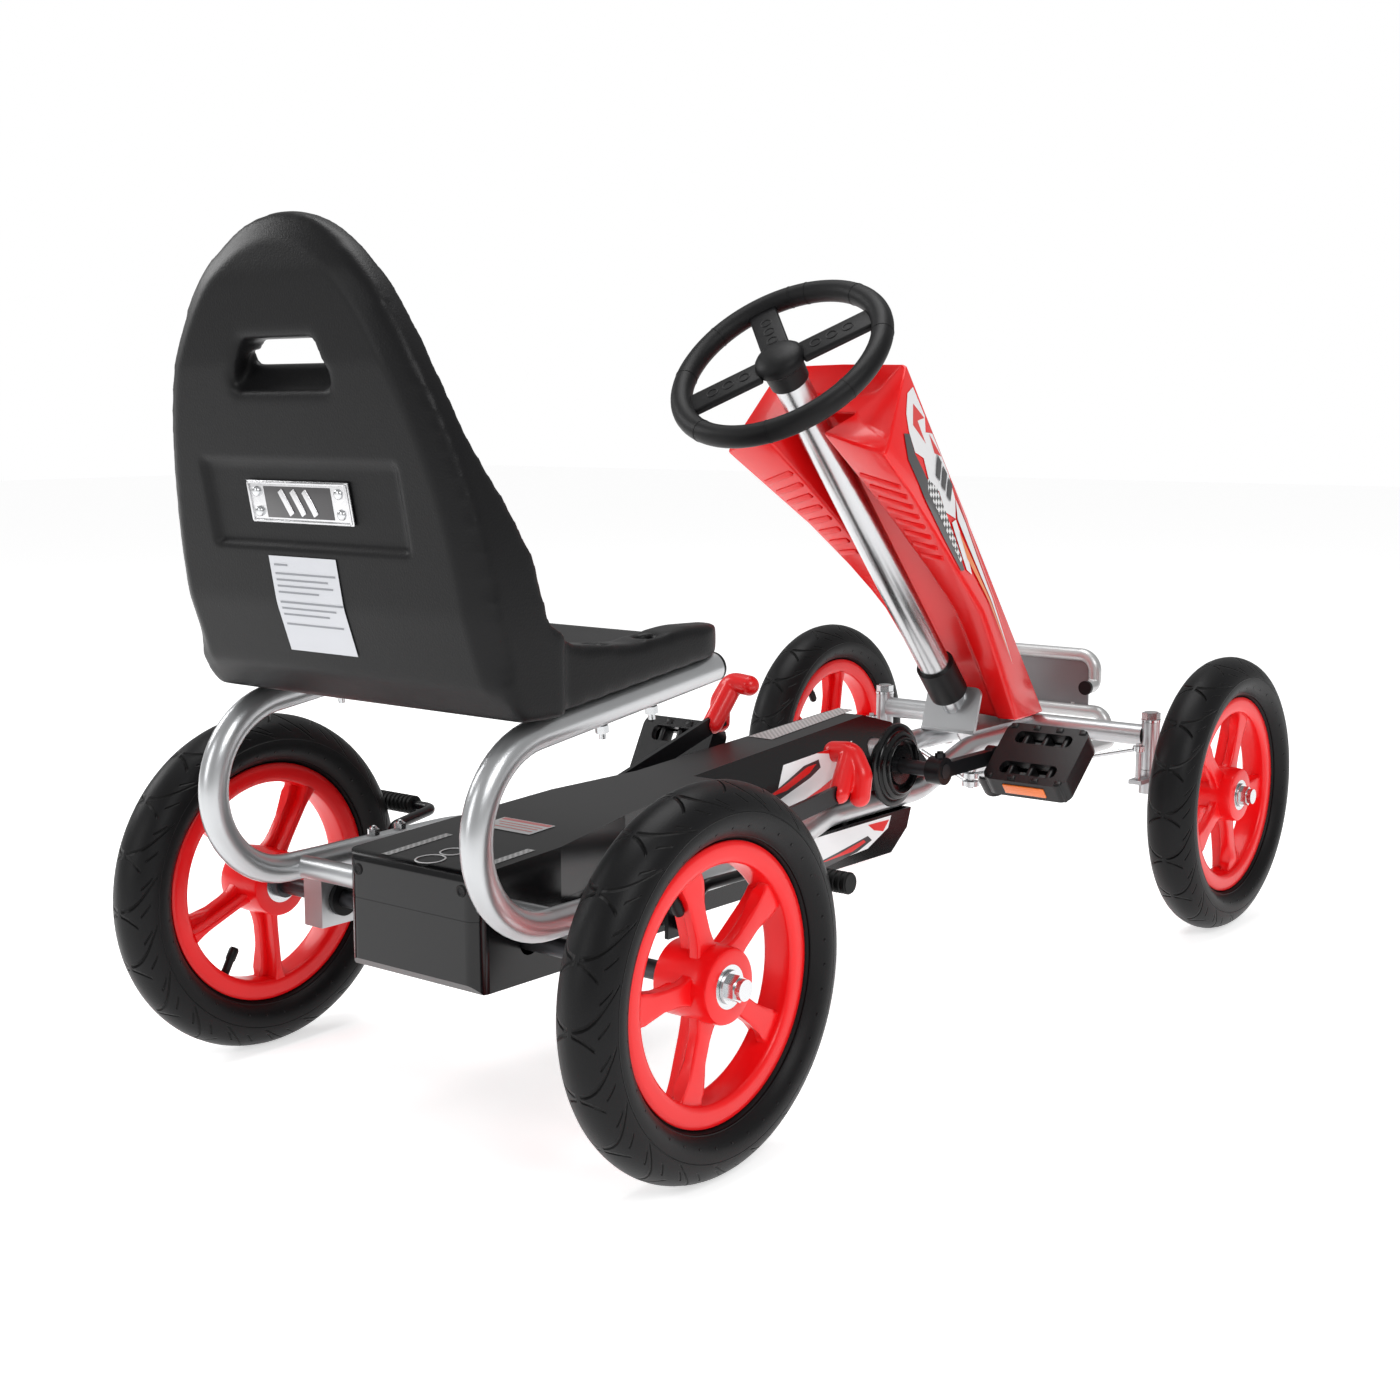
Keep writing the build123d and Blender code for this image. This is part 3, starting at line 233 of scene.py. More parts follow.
silver_paint = finish("silver_paint", (0.50, 0.51, 0.52), 0.30, metallic=0.8, coat=0.2, bump=0.08)
grey_paint = finish("light_grey_paint", (0.52, 0.53, 0.53), 0.36, metallic=0.6, coat=0.2, bump=0.08)
dark_plate = finish("dark_grey_paint", (0.19, 0.195, 0.20), 0.40, metallic=0.6, bump=0.10)
zinc = finish("zinc_plate", (0.55, 0.56, 0.57), 0.24, metallic=1.0, size=25, spread=0.07, bump=0.02)
bright = finish("bright_steel", (0.60, 0.61, 0.62), 0.24, metallic=1.0, size=40, spread=0.06)
dark_steel = finish("dark_steel", (0.06, 0.06, 0.065), 0.38, metallic=0.9, size=80, spread=0.2)
black_paint = finish("black_paint", (0.005, 0.005, 0.006), 0.30, bump=0.10, gloss=0.3)
seat_black = finish(
    "seat_plastic", (0.0065, 0.0065, 0.007), 0.40, size=9, spread=0.10, grain_size=620, bump=0.22, gloss=0.17,
)
case_black = finish("case_gloss", (0.003, 0.003, 0.0035), 0.17, size=6, spread=0.05, bump=0.02, gloss=0.35)
rim_red = finish(
    "rim_red", (0.82, 0.004, 0.006), 0.30, coat=0.10, size=12, spread=0.04, bump=0.04, gloss=0.32,
)
fairing_red = finish(
    "fairing_red", (0.80, 0.004, 0.005), 0.26, coat=0.18, size=7, spread=0.04, bump=0.04, gloss=0.35,
)
grip_red = finish(
    "grip_red", (0.74, 0.005, 0.006), 0.30, coat=0.2, size=20, spread=0.05, bump=0.05, gloss=0.4,
)
wheel_black = finish(
    "wheel_black", (0.005, 0.005, 0.0055), 0.44, size=30, spread=0.12, grain_size=1400, bump=0.25, gloss=0.2,
)
trim_black = finish("trim_black", (0.005, 0.005, 0.0055), 0.40, size=40, spread=0.10, bump=0.12, gloss=0.22)
pedal_black = finish("pedal_black", (0.005, 0.005, 0.0055), 0.34, size=40, spread=0.12, bump=0.15, gloss=0.28)
rubber = finish("brake_rubber", (0.005, 0.005, 0.005), 0.58, size=60, spread=0.15, bump=0.2, gloss=0.2)
badge_metal = finish("badge_metal", (0.62, 0.62, 0.63), 0.26, metallic=1.0, size=120, spread=0.2)


def satin_top(material, satin):
    """Upward faces are moulded satin: the roughness rises where the surface faces up."""
    tree = material.node_tree
    shader = tree.nodes["Principled BSDF"]
    facing = tree.nodes.new("ShaderNodeSeparateXYZ")
    tree.links.new(tree.nodes.new("ShaderNodeTexCoord").outputs["Normal"], facing.inputs[0])
    share = math_node(tree, "MULTIPLY_ADD", facing.outputs["Z"], 8.0, -7.0, clamp=True)
    glossy = shader.inputs["Roughness"].links[0].from_socket
    rough = math_node(tree, "MULTIPLY_ADD", share, satin, glossy, clamp=True)
    tree.links.new(rough, shader.inputs["Roughness"])


satin_top(case_black, 0.22)
print(len(bpy.data.materials), "materials so far")

# %% Give every CAD part its finish
CAD_FINISH = {
    silver_paint: "frame_tube_left frame_tube_right rear_cross_tube front_beam bottom_bracket_shell "
    "axle_carriers column_bracket knuckle_left knuckle_right",
    grey_paint: "bumper_upper_hoop bumper_lower_hoop",
    dark_plate: "bumper_plate",
    zinc: "steering_column tie_rod_left tie_rod_right seat_fasteners frame_screws",
    bright: "rear_axle_nuts front_left_nuts front_right_nuts rear_right_bearings rear_left_bearings "
    "front_right_bearings front_left_bearings",
    dark_steel: "rear_axle rear_sprocket chainring drive_chain crank_axle",
    black_paint: "crank_arms brake_lever_left brake_lever_right brake_pivots",
    case_black: "chain_case_top chain_case_bottom",
    trim_black: "column_collar column_end_cap rail_plugs bumper_plugs axle_bushes bottom_bracket_bushes "
    "rear_right_tyre rear_left_tyre front_right_tyre front_left_tyre",
    pedal_black: "pedal_left pedal_right",
    grip_red: "brake_grip_left brake_grip_right",
    rubber: "brake_rubber_left brake_rubber_right",
    badge_metal: "seat_badge",
    wheel_black: "steering_grip steering_hub",
    rim_red: "rear_right_rim rear_left_rim front_right_rim front_left_rim",
    fairing_red: "front_fairing",
    seat_black: "seat_shell",
}
for material, names in CAD_FINISH.items():
    for name in names.split():
        mesh = nodes[name].data
        mesh.materials.clear()
        mesh.materials.append(material)
print(sum(len(names.split()) for names in CAD_FINISH.values()), "CAD parts finished")

# %% [markdown]
# ## Making a piece
# New pieces are modelled in a bmesh and handed to one helper, which makes the object, shades it smooth
# up to an angle, gives it a finish and lets it ride on its body.

# %% The piece helper


def piece(name, shape, material, body, replaces=(), crease=35):
    """An object from a bmesh, at the origin, riding on a CAD body."""
    bmesh.ops.remove_doubles(shape, verts=shape.verts, dist=1e-6)
    bmesh.ops.recalc_face_normals(shape, faces=shape.faces)
    mesh = bpy.data.meshes.new(name)
    shape.to_mesh(mesh)
    shape.free()
    mesh.materials.append(material)
    made = bpy.data.objects.new(name, mesh)
    bpy.context.scene.collection.objects.link(made)
    mesh.shade_smooth()
    mesh.set_sharp_from_angle(angle=radians(crease))
    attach(made, body)
    if replaces:
        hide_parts(*replaces)
    return made


def spin_profile(shape, profile, centre, axis, radial, steps=96, angle=2 * pi):
    """Spin a line of (radius, along) points, in millimetres, round an axis; returns the new faces."""
    before = set(shape.faces)
    verts = [shape.verts.new(centre + radial * r * MM + axis * a * MM) for r, a in profile]
    edges = [shape.edges.new(pair) for pair in zip(verts, verts[1:])]
    bmesh.ops.spin(
        shape, geom=verts + edges, cent=centre, axis=axis, dvec=(0, 0, 0),
        angle=angle, steps=steps, use_merge=angle > 6.28, use_duplicate=False,
    )
    return [face for face in shape.faces if face not in before]


def box_shape(shape, centre, along, across, up, size, bevel=0.0, segments=3):
    """A block of size (mm) on three axes, with rounded edges; returns its vertices."""
    turn = Matrix((along, across, up)).transposed().to_4x4()
    scale = Matrix.Diagonal((*[s * MM for s in size], 1))
    made = bmesh.ops.create_cube(shape, size=1, matrix=Matrix.Translation(centre) @ turn @ scale)["verts"]
    if bevel:
        edges = list({e for v in made for e in v.link_edges})
        bmesh.ops.bevel(
            shape, geom=edges, offset=bevel * MM, segments=segments, affect="EDGES", profile=0.5, material=-1,
        )
    return made


print("helpers ready")

# %% [markdown]
# ## Tyres
# A pneumatic tyre is one round section spun about its axle. Its tread is a band of slanting grooves that
# meet in a shallow zigzag, and its side has rings and small pips. Cutting hundreds of grooves would cost
# a great many faces, so the section is spun smooth, each tyre gets its own UV map, once round and once
# across, and the grooves are drawn there as a Bump height, with painted shade that darkens the colour in them.

# %% The tyre's section and its spin
TYRE_SECTION = [
    (113.4, 11.2), (116.0, 17.2), (119.0, 21.4), (123.0, 25.2), (127.5, 27.3), (132.0, 28.0),
    (137.0, 27.6), (142.0, 26.0), (146.0, 23.8), (149.0, 21.6), (151.6, 19.0), (154.2, 15.4),
    (156.3, 11.0), (157.7, 6.4), (158.4, 2.4),
]
TREAD_PITCHES = 38


def make_tyre(wheel, material):
    """A spun tyre casing with a UV map: u once round in tread pitches, v from -1 to 1 across."""
    centre = wheel_middle[wheel]
    half = [(r, -a) for r, a in TYRE_SECTION]
    profile = half + [(r, a) for r, a in reversed(TYRE_SECTION)]
    profile = [(103.0, -10.8)] + profile + [(103.0, 10.8)]
    shape = bmesh.new()
    spin_profile(shape, profile, centre, LEFT, Vector((0, 0, 1)), steps=144)
    made = piece("tyre_" + wheel, shape, material, WHEELS[wheel], [wheel + "_tyre"])
    mesh = made.data
    uv = mesh.uv_layers.new(name="tread")
    for face in mesh.polygons:
        around = face.center - centre
        middle = atan2(around.z, around.x) / (2 * pi)
        for loop in face.loop_indices:
            point = mesh.vertices[mesh.loops[loop].vertex_index].co - centre
            turn = atan2(point.z, point.x) / (2 * pi)
            turn += round(middle - turn)
            radius = (point.x ** 2 + point.z ** 2) ** 0.5 / MM
            side = 1 if point.y > 0 else -1
            uv.data[loop].uv = (turn * TREAD_PITCHES, side * (160 - radius) / 47)
    return made


# %% Rubber with its grooves
def smooth_line(tree, distance, width):
    """1 on a line, fading to 0 at the given half-width."""
    over = math_node(tree, "DIVIDE", distance, width)
    return math_node(tree, "SUBTRACT", 1.0, over, clamp=True)


def stripes(tree, value, width):
    """Lines at each whole number of value."""
    part = math_node(tree, "FRACT", value)
    away = math_node(tree, "ABSOLUTE", math_node(tree, "SUBTRACT", part, 0.5))
    return smooth_line(tree, away, width)


def band(tree, value, low, high, soft=0.02):
    """1 between low and high, with soft ends."""
    rise = math_node(tree, "DIVIDE", math_node(tree, "SUBTRACT", value, low), soft, clamp=True)
    fall = math_node(tree, "DIVIDE", math_node(tree, "SUBTRACT", high, value), soft, clamp=True)
    return math_node(tree, "MULTIPLY", rise, fall)


def tyre_rubber():
    """Black rubber: chevron grooves over the tread with painted shade in them, rings and pips on the sides."""
    material = finish("tyre_rubber", (0.006, 0.006, 0.0065), 0.42, size=14, spread=0.12, bump=0.2, gloss=0.16)
    tree = material.node_tree
    shader = tree.nodes["Principled BSDF"]
    unwrapped = tree.nodes.new("ShaderNodeUVMap")
    unwrapped.uv_map = "tread"
    split = tree.nodes.new("ShaderNodeSeparateXYZ")
    tree.links.new(unwrapped.outputs[0], split.inputs[0])
    turn, side = split.outputs[0], split.outputs[1]
    depth = math_node(tree, "ABSOLUTE", side)
    bow = math_node(tree, "POWER", depth, 1.35)
    slant = math_node(tree, "MULTIPLY_ADD", bow, 3.4, turn)
    half_turn = math_node(tree, "MULTIPLY", turn, 0.5)
    long_slant = math_node(tree, "MULTIPLY_ADD", bow, 2.2, half_turn)
    long_cuts = math_node(tree, "MULTIPLY", stripes(tree, long_slant, 0.045), band(tree, depth, 0.03, 0.46))
    counter = math_node(tree, "SUBTRACT", half_turn, math_node(tree, "MULTIPLY", depth, 1.5))
    cross_cuts = math_node(tree, "MULTIPLY", stripes(tree, counter, 0.04), band(tree, depth, 0.02, 0.17))
    short_cuts = math_node(tree, "MULTIPLY", stripes(tree, slant, 0.07), band(tree, depth, 0.20, 0.36))
    cuts = math_node(tree, "MAXIMUM", long_cuts, math_node(tree, "MAXIMUM", short_cuts, cross_cuts))
    rings = None
    for radius in (0.50, 0.93):
        away = math_node(tree, "ABSOLUTE", math_node(tree, "SUBTRACT", depth, radius))
        ring = smooth_line(tree, away, 0.012)
        rings = ring if rings is None else math_node(tree, "MAXIMUM", rings, ring)
    pips = stripes(tree, math_node(tree, "MULTIPLY", turn, 1.0), 0.07)
    pips = math_node(tree, "MULTIPLY", pips, band(tree, depth, 0.72, 0.76, 0.01))
    # painted shade: inside the grooves, which are only a Bump height, the colour is darkened to 8 percent
    dark = mix_colours(tree, cuts, (1, 1, 1, 1), (0.08, 0.08, 0.08, 1))
    multiply = tree.nodes.new("ShaderNodeMix")
    multiply.data_type = "RGBA"
    multiply.blend_type = "MULTIPLY"
    multiply.inputs[0].default_value = 1
    base = shader.inputs["Base Color"].links[0].from_socket
    tree.links.new(base, multiply.inputs[6])
    tree.links.new(dark, multiply.inputs[7])
    tree.links.new(multiply.outputs[2], shader.inputs["Base Color"])
    height = math_node(tree, "MULTIPLY_ADD", cuts, -1.0, math_node(tree, "MULTIPLY", rings, 0.35))
    height = math_node(tree, "MULTIPLY_ADD", pips, 0.5, height)
    relief = tree.nodes.new("ShaderNodeBump")
    relief.inputs["Strength"].default_value = 0.9
    relief.inputs["Distance"].default_value = 0.0045
    tree.links.new(height, relief.inputs["Height"])
    tree.links.new(shader.inputs["Normal"].links[0].from_socket, relief.inputs["Normal"])
    tree.links.new(relief.outputs["Normal"], shader.inputs["Normal"])
    return material


rubber_tread = tyre_rubber()
for wheel in WHEELS:
    tyre = make_tyre(wheel, rubber_tread)
print("four tyres,", len(tyre.data.polygons), "faces each")

# %% [markdown]
# ## Rims
# The rims are glossy red mouldings: a broad rounded flange, a thin barrel, a drum of a hub, and five
# spokes whose ends flare where they meet both. The flange and hub are spun from their sections. A spoke
# starts as a block cut across its length, its cuts are widened towards the ends, and its edges are rounded.

# %% One rim
FLANGE_SECTION = [
    (101.8, 11.0), (112.2, 11.2), (112.8, 12.2), (112.8, 14.2), (112.0, 15.0), (108.0, 15.6),
    (101.0, 15.4), (97.0, 14.6), (95.2, 13.2), (94.6, 11.0), (94.4, 4.0), (94.4, 0.0),
]
SPOKE_PARTS = ((18.0, 11.0, 4.0), (6.5, 16.0, -7.5))  # a flat face and a rib: width, depth, place outward
SPOKE_CUTS = (30.5, 36.0, 44.0, 61.0, 78.0, 86.0, 92.0)
SPOKE_MIDDLE, SPOKE_LENGTH, SPOKE_EDGE = 61, 70, 2.2
SPOKE_ANGLE = {"rear_right": 180.0, "rear_left": 58.0, "front_right": -4.0, "front_left": 82.0}
OUTWARD = {"rear_right": -1, "rear_left": 1, "front_right": -1, "front_left": 1}


def spoke(shape, centre, angle, outward):
    """One T-shaped spoke from the hub to the flange, flared at both ends."""
    reach = Vector((cos(angle), 0, sin(angle)))
    across = Vector((-sin(angle), 0, cos(angle)))
    out = LEFT * outward
    for wide, thick, middle in SPOKE_PARTS:
        start = set(shape.verts)
        place_at = centre + reach * SPOKE_MIDDLE * MM + out * middle * MM
        box_shape(shape, place_at, reach, across, out, (SPOKE_LENGTH, wide, thick))
        body = [v for v in shape.verts if v not in start]
        for distance in SPOKE_CUTS:
            geometry = body + list({e for v in body for e in v.link_edges})
            geometry += list({f for v in body for f in v.link_faces})
            cut_at = centre + reach * distance * MM
            cut = bmesh.ops.bisect_plane(shape, geom=geometry, plane_co=cut_at, plane_no=reach)
            body = list({*body, *[g for g in cut["geom_cut"] if isinstance(g, bmesh.types.BMVert)]})
        for v in body:
            far = (v.co - centre).dot(reach) / MM
            flare = max(0.0, (far - 76) / 19) ** 2 * 0.75 + max(0.0, (46 - far) / 20) ** 2 * 0.55
            sideways = (v.co - centre).dot(across)
            v.co += across * sideways * (flare - 0.06)
        edges = []
        for edge in {e for v in body for e in v.link_edges}:
            lies_along = abs((edge.verts[0].co - edge.verts[1].co).normalized().dot(reach)) > 0.8
            if lies_along and edge.calc_face_angle(0) > 1.0:
                edges.append(edge)
        bmesh.ops.bevel(
            shape, geom=edges, offset=SPOKE_EDGE * MM, segments=3, affect="EDGES", profile=0.5, material=-1,
        )


def make_rim(wheel):
    """Flange ring, hub drum and five spokes."""
    centre, outward = wheel_middle[wheel], OUTWARD[wheel]
    radial = Vector((0, 0, 1))
    shape = bmesh.new()
    ring = FLANGE_SECTION + [(r, -a) for r, a in reversed(FLANGE_SECTION[:-1])] + [FLANGE_SECTION[0]]
    spin_profile(shape, ring, centre, LEFT, radial, steps=120)
    hub = [(17.6, -29.2), (28.0, -29.2), (30.0, -28.4), (30.5, -26.5), (30.5, -12), (31.5, -3), (31.5, 9)]
    hub += [(30.5, 20.8), (29.6, 22.8), (27.6, 23.6), (17.6, 23.6), (17.6, 15.0), (12.5, 15.0)]
    hub += [(12.5, -21.0), (17.6, -21.0), (17.6, -29.2)]
    spin_profile(shape, [(r, a * outward) for r, a in hub], centre, LEFT, radial, steps=72)
    for index in range(5):
        spoke(shape, centre, radians(SPOKE_ANGLE[wheel] + 72 * index), outward)
    return piece("rim_" + wheel, shape, rim_red, WHEELS[wheel], [wheel + "_rim"], crease=38)


for wheel in WHEELS:
    rim = make_rim(wheel)
print("four rims,", len(rim.data.polygons), "faces each")

# %% [markdown]
# ## Valves
# Each tyre is blown up through a short rubber stem that comes through the rim's barrel towards the hub.

# %% Valve stems
VALVE_ANGLE = {"rear_left": 240.0, "rear_right": 118.0, "front_left": 118.0, "front_right": 215.0}
VALVE_SECTION = [(0, 0), (3.2, 0), (3.9, 1.2), (3.9, 13), (4.7, 15), (4.7, 24), (3.6, 26.5), (0, 27)]


def make_valve(wheel):
    """A stem with its cap, on the inner side of the barrel, pointing at the hub."""
    angle = radians(VALVE_ANGLE[wheel])
    outwards = Vector((cos(angle), 0, sin(angle)))
    root = wheel_middle[wheel] + outwards * 95 * MM
    shape = bmesh.new()
    profile = [(r, -a) for r, a in VALVE_SECTION]
    spin_profile(shape, profile, root, outwards, LEFT, steps=20)
    return piece("valve_" + wheel, shape, trim_black, WHEELS[wheel])


for wheel in WHEELS:
    make_valve(wheel)
print("four valves")

# %% [markdown]
# ## Steering wheel
# The wheel is a plain moulded ring on three flat spokes with a domed cap, all in one black plastic.
# The ring is a circle spun about the column. A spoke is a flat bar with rounded edges, and the small
# round dimples along it are shallow rings set on its face.

# %% Ring, hub and spokes
RING_R, GRIP_R = 110.6, 11.4
SPOKE_TURNS = (-50, -140, 40)


def make_steering_wheel():
    """The grip ring and the spoked hub."""
    grip = bmesh.new()
    section = [(RING_R + GRIP_R * cos(t * pi / 12), GRIP_R * sin(t * pi / 12)) for t in range(25)]
    spin_profile(grip, section, WHEEL_CENTRE, UP_COLUMN, LEFT, steps=120)
    piece("steering_ring", grip, wheel_black, "steering", ["steering_grip"])
    hub = bmesh.new()
    dome = [(0, 14.5), (9, 14.0), (17, 12.2), (23, 9.2), (26, 6.0), (27, 2.5)]
    dome += [(27, -2.0), (22, -6), (20.8, -25), (0, -25)]
    spin_profile(hub, dome, WHEEL_CENTRE, UP_COLUMN, LEFT, steps=60)
    for turn in SPOKE_TURNS:
        angle = radians(turn)
        reach = LEFT * cos(angle) - AHEAD * sin(angle)
        across = UP_COLUMN.cross(reach)
        middle = WHEEL_CENTRE + reach * 63 * MM - UP_COLUMN * 1.5 * MM
        box_shape(hub, middle, reach, across, UP_COLUMN, (80, 31, 8), bevel=2.6)
        for far in (40, 58, 76):
            at = WHEEL_CENTRE + reach * far * MM + UP_COLUMN * 2.4 * MM
            ring = [(0, -0.2), (4.6, -0.2), (5.0, 0.7), (5.8, 0.9), (6.6, 0.4), (6.8, -0.4)]
            spin_profile(hub, ring, at, UP_COLUMN, LEFT, steps=24)
    return piece("steering_centre", hub, wheel_black, "steering", ["steering_hub"])


steering_centre = make_steering_wheel()
print("steering wheel,", len(steering_centre.data.polygons), "faces in its centre")

# %% [markdown]
# ## Front fairing
# The fairing is a tall wedge of glossy red plastic with a deep channel in its back, where the steering
# column lies. Its form changes all the way down, so it is drawn as cross-sections, each a closed loop
# of a few corners, and bridge_loops skins them in turn. The lid at the top dips towards the rider like
# a scoop. Bevels then soften the long corners as a mould does.

# %% The fairing's cross-sections
RIDGE = [
    (506, 100, 554), (575, 91, 510), (632, 81, 472), (699, 72, 423), (739, 68, 392), (768, 66, 368),
    (826, 58, 300), (880, 51, 231),
]
FRONT_TOP, FRONT_LOW = Vector((576, 80, 647)), Vector((960, 46, 231))
FRONT_SHARE = (0.0, 0.15, 0.29, 0.44, 0.53, 0.60, 0.79, 1.0)
FLANGE_IN = (38, 37, 36, 35, 34, 33, 30, 28)
FLANGE_LIFT = (31, 22, 14, 6, 2, 0, 0, 0)
FLOOR_DEPTH = (62, 44, 30, 16, 10, 6, 3, 2)
BAND_SHARE = 0.17  # the crease beside the ridge, as a share of the way to the front


def section_points(index):
    """One half of a cross-section: channel floor, floor's edge, flange, ridge, band, front corner, front."""
    ridge = Vector(RIDGE[index])
    front = FRONT_TOP.lerp(FRONT_LOW, FRONT_SHARE[index])
    inner = ridge + UP_COLUMN * FLANGE_LIFT[index] - AHEAD * 2
    inner.y = FLANGE_IN[index]
    floor_edge = ridge + AHEAD * FLOOR_DEPTH[index]
    floor_edge.y = FLANGE_IN[index] - 5
    floor = Vector((floor_edge.x, 0, floor_edge.z)) + AHEAD * 1.5
    band = ridge.lerp(front, BAND_SHARE) + LEFT * 2.2
    nose = Vector((front.x, 0, front.z)) + Vector((1.5, 0, 1.5))
    return floor, floor_edge, inner, ridge, band, front, nose


def mirrored(point):
    return Vector((point.x, -point.y, point.z))


def fairing_shape():
    """Loops bridged from the top to the foot, with the lid and the foot closed."""
    shape = bmesh.new()
    loops, rows = [], []
    for index in range(len(RIDGE)):
        half = section_points(index)
        left = [shape.verts.new(place(*p)) for p in half]
        right = [shape.verts.new(place(*mirrored(p))) for p in half[1:-1]]
        ring = left + right[::-1]
        loops.append([shape.edges.new((a, b)) for a, b in zip(ring, ring[1:] + ring[:1])])
        rows.append((left, right))
    for upper, lower in zip(loops, loops[1:]):
        bmesh.ops.bridge_loops(shape, edges=upper + lower)
    bmesh.ops.contextual_create(shape, geom=loops[-1])
    left, right = rows[0]
    dip = shape.verts.new(place(*(WHEEL_AT - UP_COLUMN * 104 + AHEAD * 62)))
    floor, nose = left[0], left[-1]
    for side, sign in ((left[1:-1], 1), (right, -1)):
        floor_edge, inner, ridge, band, front = side
        high = shape.verts.new(place(*(WHEEL_AT - UP_COLUMN * 96 + AHEAD * 60 + LEFT * sign * 46)))
        low = shape.verts.new(place(*(WHEEL_AT - UP_COLUMN * 90 + AHEAD * 6 + LEFT * sign * 58)))
        for corners in (
            (nose, front, high, dip), (front, band, low, high), (band, ridge, inner, low),
            (low, inner, floor_edge), (high, low, floor_edge), (dip, high, floor_edge, floor),
        ):
            shape.faces.new(corners)
    bmesh.ops.recalc_face_normals(shape, faces=shape.faces)
    sharp = [e for e in shape.edges if len(e.link_faces) == 2 and e.calc_face_angle(0) > 0.42]
    bmesh.ops.bevel(shape, geom=sharp, offset=3.6 * MM, segments=3, affect="EDGES", profile=0.5, material=-1)
    return shape


fairing = piece(
    "fairing", fairing_shape(), fairing_red, "frame", ["front_fairing"], crease=30,
)
print("fairing,", len(fairing.data.polygons), "faces")

# %% [markdown]
# ## Seat
# The seat is one blow-moulded shell: no edge on it is sharp, its back has a flat panel that rolls away
# towards the rim, and a shallow recess frames the badge. The CAD shell gives the true size. A copy of it
# is remeshed into small even quads, its vertices are moved to roll the rim and sink the recess, and a
# smoothing pass rounds what is left.

# %% The seat's back, described
REAR_LINE = [(746, -184), (700, -190), (633, -185), (530, -164), (447, -149), (392, -130), (366, -108)]
WIDE_HEIGHT = 430.0
SILL_RISE = 20.0  # how far the hand slot's sill climbs towards the front
PANEL_HALF, PANEL_RISE = 160.0, 294.0  # the flat panel's edge: half an ellipse above WIDE_HEIGHT


def read_line(line, height):
    """The value at a height, from (height, value) corners listed from the top down."""
    if height >= line[0][0]:
        return line[0][1]
    for (z0, v0), (z1, v1) in zip(line, line[1:]):
        if height >= z1:
            return v1 + (v0 - v1) * (height - z1) / (z0 - z1)
    return line[-1][1]


def soft_step(value, low, high):
    share = min(1.0, max(0.0, (value - low) / (high - low)))
    return share * share * (3 - 2 * share)


def rounded_copy(node, name, voxel, passes):
    """An even-quad copy of a CAD part, with its edges smoothed by a few passes."""
    shape = bmesh.new()
    shape.from_mesh(nodes[node].data)
    bmesh.ops.remove_doubles(shape, verts=shape.verts, dist=1e-5)
    mesh = bpy.data.meshes.new(name)
    shape.to_mesh(mesh)
    shape.free()
    rough = bpy.data.objects.new(name, mesh)
    bpy.context.scene.collection.objects.link(rough)
    remesh = rough.modifiers.new("even", "REMESH")
    remesh.mode = "VOXEL"
    remesh.voxel_size = voxel * MM
    smooth = rough.modifiers.new("soften", "SMOOTH")
    smooth.factor = 0.5
    smooth.iterations = passes
    evaluated = rough.evaluated_get(bpy.context.evaluated_depsgraph_get())
    soft = bmesh.new()
    soft.from_mesh(evaluated.to_mesh())
    evaluated.to_mesh_clear()
    bpy.data.objects.remove(rough)
    return soft


# %% Roll the rim and sink the recess
def shape_seat(soft):
    """Move the back's rear skin: forward past the ridge, forward inside the recess."""
    for v in soft.verts:
        x, y, z = (v.co.x - AXLE_X) / MM, v.co.y / MM, v.co.z / MM
        if z < 372 or x > -40:
            continue
        behind = x - read_line(REAR_LINE, z)
        if behind > 60:
            continue
        rise = max(0.0, z - WIDE_HEIGHT) / PANEL_RISE
        beyond = max(0.0, ((y / PANEL_HALF) ** 2 + rise ** 2) ** 0.5 - 1) * PANEL_HALF
        roll = 0.62 * min(beyond, 30) * soft_step(45 - behind, 0, 45) * soft_step(z, 372, 420)
        inside = soft_step(min(114 - abs(y), z - 491, 561 - z), 0, 5)
        x += roll + 4.5 * inside * soft_step(14 - behind, 0, 14)
        sill = soft_step(behind, 6, 26) * soft_step(z, 560, 606) * soft_step(650 - z, 0, 30)
        sill *= soft_step(76 - abs(y), 0, 16)
        v.co.x = AXLE_X + x * MM
        v.co.z += SILL_RISE * sill * MM
    return soft


seat_soft = shape_seat(rounded_copy("seat_shell", "seat_rough", 3.4, 12))
bmesh.ops.smooth_vert(
    seat_soft, verts=seat_soft.verts, factor=0.5, use_axis_x=True, use_axis_y=True, use_axis_z=True,
)
seat = piece("seat", seat_soft, seat_black, "frame", ["seat_shell"], crease=60)
print("seat,", len(seat.data.polygons), "faces")

# %% [markdown]
# ## Stickers
# The stickers are printed film, so each is its own thin shape laid just off the plastic. An outline is
# drawn flat, in millimetres along and across the panel, cut into a grid so that it can bend, and then
# each corner is carried onto the panel. The prints here are plain shapes of our own: splashes, streaks,
# bars and checks.

# %% Film colours
film_white = finish("film_white", (0.82, 0.82, 0.83), 0.30, coat=0.4, spread=0.03, bump=0.0)
film_red = finish("film_red", (0.70, 0.012, 0.010), 0.30, coat=0.4, spread=0.03, bump=0.0)
film_dark = finish("film_dark", (0.030, 0.028, 0.030), 0.32, coat=0.4, spread=0.05, bump=0.0)
film_orange = finish("film_orange", (0.85, 0.20, 0.015), 0.30, coat=0.4, spread=0.04, bump=0.0)
film_pale = finish("film_pale_red", (0.84, 0.16, 0.16), 0.30, coat=0.4, spread=0.04, bump=0.0)


